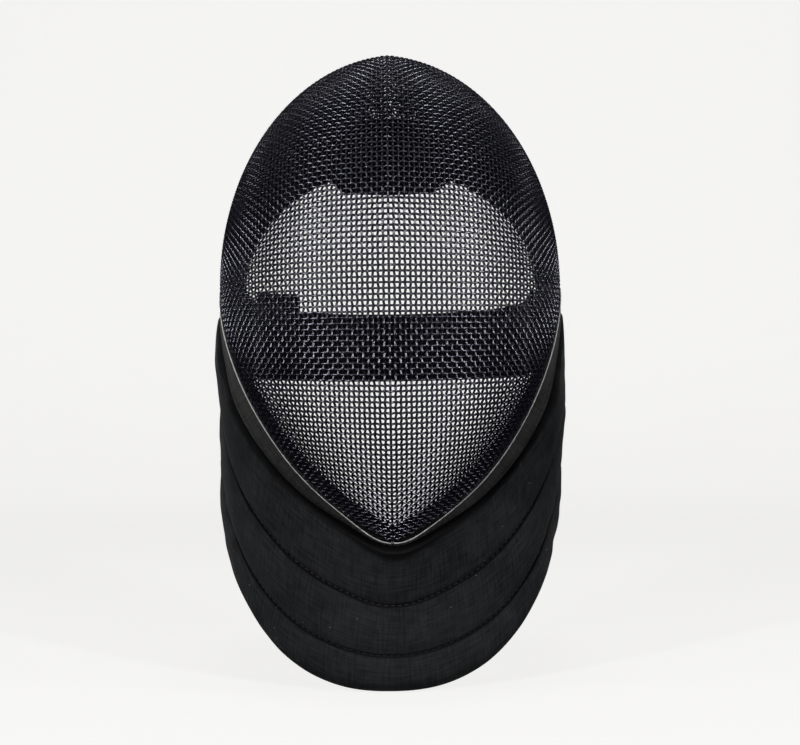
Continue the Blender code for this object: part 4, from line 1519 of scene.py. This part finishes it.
BOX_IN, BOX_HEIGHTS = 0.012, (-0.046, -0.006)    # share of the strap left free round each box
TAB_SEAM_IN = 0.0025        # from the tab's rims to its seam
end_share = (1 - STRAP_BOW_SHARE) / 2
strap_boxes = (box_of(BOX_IN, end_share - BOX_IN, *BOX_HEIGHTS, True)
               + box_of(1 - end_share + BOX_IN, 1 - BOX_IN, *BOX_HEIGHTS, True))
sewn("stitches_strap", strap_lines(strap, strap_boxes, -1) + strap_lines(bib, strap_boxes, 1),
     "black_webbing", **BOX_STITCH)
tab_box = box_of(tab_part[2], tab_part[-3], TAB_HEIGHTS[0] + TAB_SEAM_IN,
                 TAB_HEIGHTS[1] - TAB_SEAM_IN, False)
sewn("stitches_tab", strap_lines(tab, tab_box, 1), "tab_webbing", **BOX_STITCH)

# %% [markdown]
# ## Studio
#
# The photograph is a plain catalogue shot: white all round, soft light and a camera a little
# under mouth height.  A sweep of pale board gives floor and backdrop in one.  One large light
# would be the simplest set, but it lays a grey film over glossy wire and leaves black cloth
# without shape.  So narrow strips in front and at the sides draw thin highlights on the wires,
# and three more boxes are linked to the cloth alone.

# %% Camera, measured against the photograph
PHOTO_WIDTH, FOCAL, SENSOR = 800, 1690, 36.0          # pixels, pixels, millimetres
camera_data = bpy.data.cameras.new("camera")
camera_data.sensor_width = SENSOR
camera_data.lens = SENSOR * FOCAL / PHOTO_WIDTH
camera = add_object("camera", camera_data)
camera.matrix_world = (Matrix.Translation((0.0053, -1.006, -0.184))
                       @ Matrix.Rotation(radians(90), 4, "X")
                       @ Matrix.Rotation(radians(-0.7), 4, "Z"))
bpy.context.scene.camera = camera
print("lens:", round(camera_data.lens, 1), "mm")

# %% Floor and backdrop
HEM_LEVEL = -0.364          # the dressed bib hangs down to here
FLOOR_GAP = 0.0003
BOARD_HALF, BOARD_BACK, BOARD_BEND, BOARD_TOP = 2.5, 1.0, 0.5, 2.6
floor = min(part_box("bib")[0][2], HEM_LEVEL) - FLOOR_GAP
board, board_tree, board_shader = new_finish("pale board")
board_place = board_tree.nodes.new("ShaderNodeTexCoord").outputs["Object"]
board_grain = noise_node(board_tree, board_place, 18.0, 3.0)
feed(board_tree, board_shader.inputs["Base Color"],
     mix_colours(board_tree, board_grain, (0.34, 0.34, 0.338, 1), (0.38, 0.38, 0.378, 1)))
board_shader.inputs["Emission Color"].default_value = (0.80, 0.795, 0.785, 1)
board_shader.inputs["Emission Strength"].default_value = 1.0
board_shader.inputs["Roughness"].default_value = 0.9
bm = bmesh.new()
bend = [(BOARD_BACK + BOARD_BEND * sin(angle), BOARD_BEND - BOARD_BEND * cos(angle))
        for angle in np.linspace(0.2, pi / 2, 8)]
section = [(-BOARD_HALF, 0.0), (BOARD_BACK, 0.0), *bend, (BOARD_BACK + BOARD_BEND, BOARD_TOP)]
corners = [bm.verts.new((-BOARD_HALF, y, z)) for y, z in section]
lines = [bm.edges.new(pair) for pair in zip(corners[:-1], corners[1:])]
moved = bmesh.ops.extrude_edge_only(bm, edges=lines)["geom"]
bmesh.ops.translate(bm, vec=(2 * BOARD_HALF, 0, 0),
                    verts=[part for part in moved if isinstance(part, bmesh.types.BMVert)])
bmesh.ops.translate(bm, vec=(0, 0, floor), verts=bm.verts)
bmesh.ops.recalc_face_normals(bm, faces=bm.faces)
sweep_mesh = bpy.data.meshes.new("backdrop")
bm.to_mesh(sweep_mesh)
bm.free()
sweep_mesh.shade_smooth()
sweep_mesh.materials.append(board)
backdrop = add_object("backdrop", sweep_mesh)
backdrop.visible_diffuse = backdrop.visible_glossy = False     # it lights nothing itself
print("floor", round(-floor * 1000), "mm under the head seat")

# %% What the mask sees all round it
world = bpy.data.worlds.new("studio")
bpy.context.scene.world = world
world.use_nodes = True
sky = world.node_tree
look = sky.nodes.new("ShaderNodeTexCoord").outputs["Generated"]
height = parts_of(sky, look)[2]
glow = mix_colours(sky, mapped(sky, height, -0.25, 0.9, 0.0, 1.0),
                   (0.006, 0.006, 0.007, 1), (0.035, 0.035, 0.038, 1))
seen = sky.nodes.new("ShaderNodeLightPath").outputs["Is Camera Ray"]
feed(sky, sky.nodes["Background"].inputs["Color"],
     mix_colours(sky, seen, glow, (0.86, 0.855, 0.845, 1)))
print("world:", world.name)


# %% Lamps
STRIP_TINT = (0.96, 0.97, 1.0)


def softbox(name, place, aim, size, power, tint=(1.0, 1.0, 1.0)):
    """An area light of size (width, height) in metres, at place and turned towards aim."""
    data = bpy.data.lights.new(name, "AREA")
    data.shape, data.size, data.size_y, data.energy = "RECTANGLE", size[0], size[1], power
    data.color = tint
    light = add_object(name, data)
    turned = (Vector(aim) - Vector(place)).to_track_quat("-Z", "Y").to_matrix().to_4x4()
    light.matrix_world = Matrix.Translation(place) @ turned
    light.visible_camera = False
    return light


def light_only(light, pieces):
    """Dark cloth needs more light than bright wire does: the light reaches these pieces only."""
    lit = bpy.data.collections.new("lit by " + light.name)
    for piece in pieces:
        lit.objects.link(piece)
    light.light_linking.receiver_collection = lit


softbox("overhead", (0.0, -0.15, 1.35), (0, 0, -0.1), (0.45, 0.25), 1.6)
for side in (-1, 1):
    softbox("front strip", (side, -1.20, 0.02), (0, 0, -0.18), (0.11, 0.5), 10.5, STRIP_TINT)
    softbox("side strip", (1.4 * side, -0.30, -0.1), (0, 0, -0.16), (0.12, 0.3), 2.2, STRIP_TINT)
front_cloth = (tape, trim, bib)
all_cloth = (*front_cloth, lining, band, tongue, strap, tab)
light_only(softbox("rear left", (-0.9, 1.2, 0.8), (0, 0, -0.2), (1.0, 1.0), 20), all_cloth)
light_only(softbox("rear right", (0.9, 1.2, 0.8), (0, 0, -0.2), (1.0, 1.0), 15), all_cloth)
light_only(softbox("front top", (-0.15, -0.95, 0.95), (0, 0, -0.25), (0.5, 0.3), 10), front_cloth)
bpy.context.scene.view_settings.view_transform = "Standard"
print("lamps:", len(bpy.data.lights))
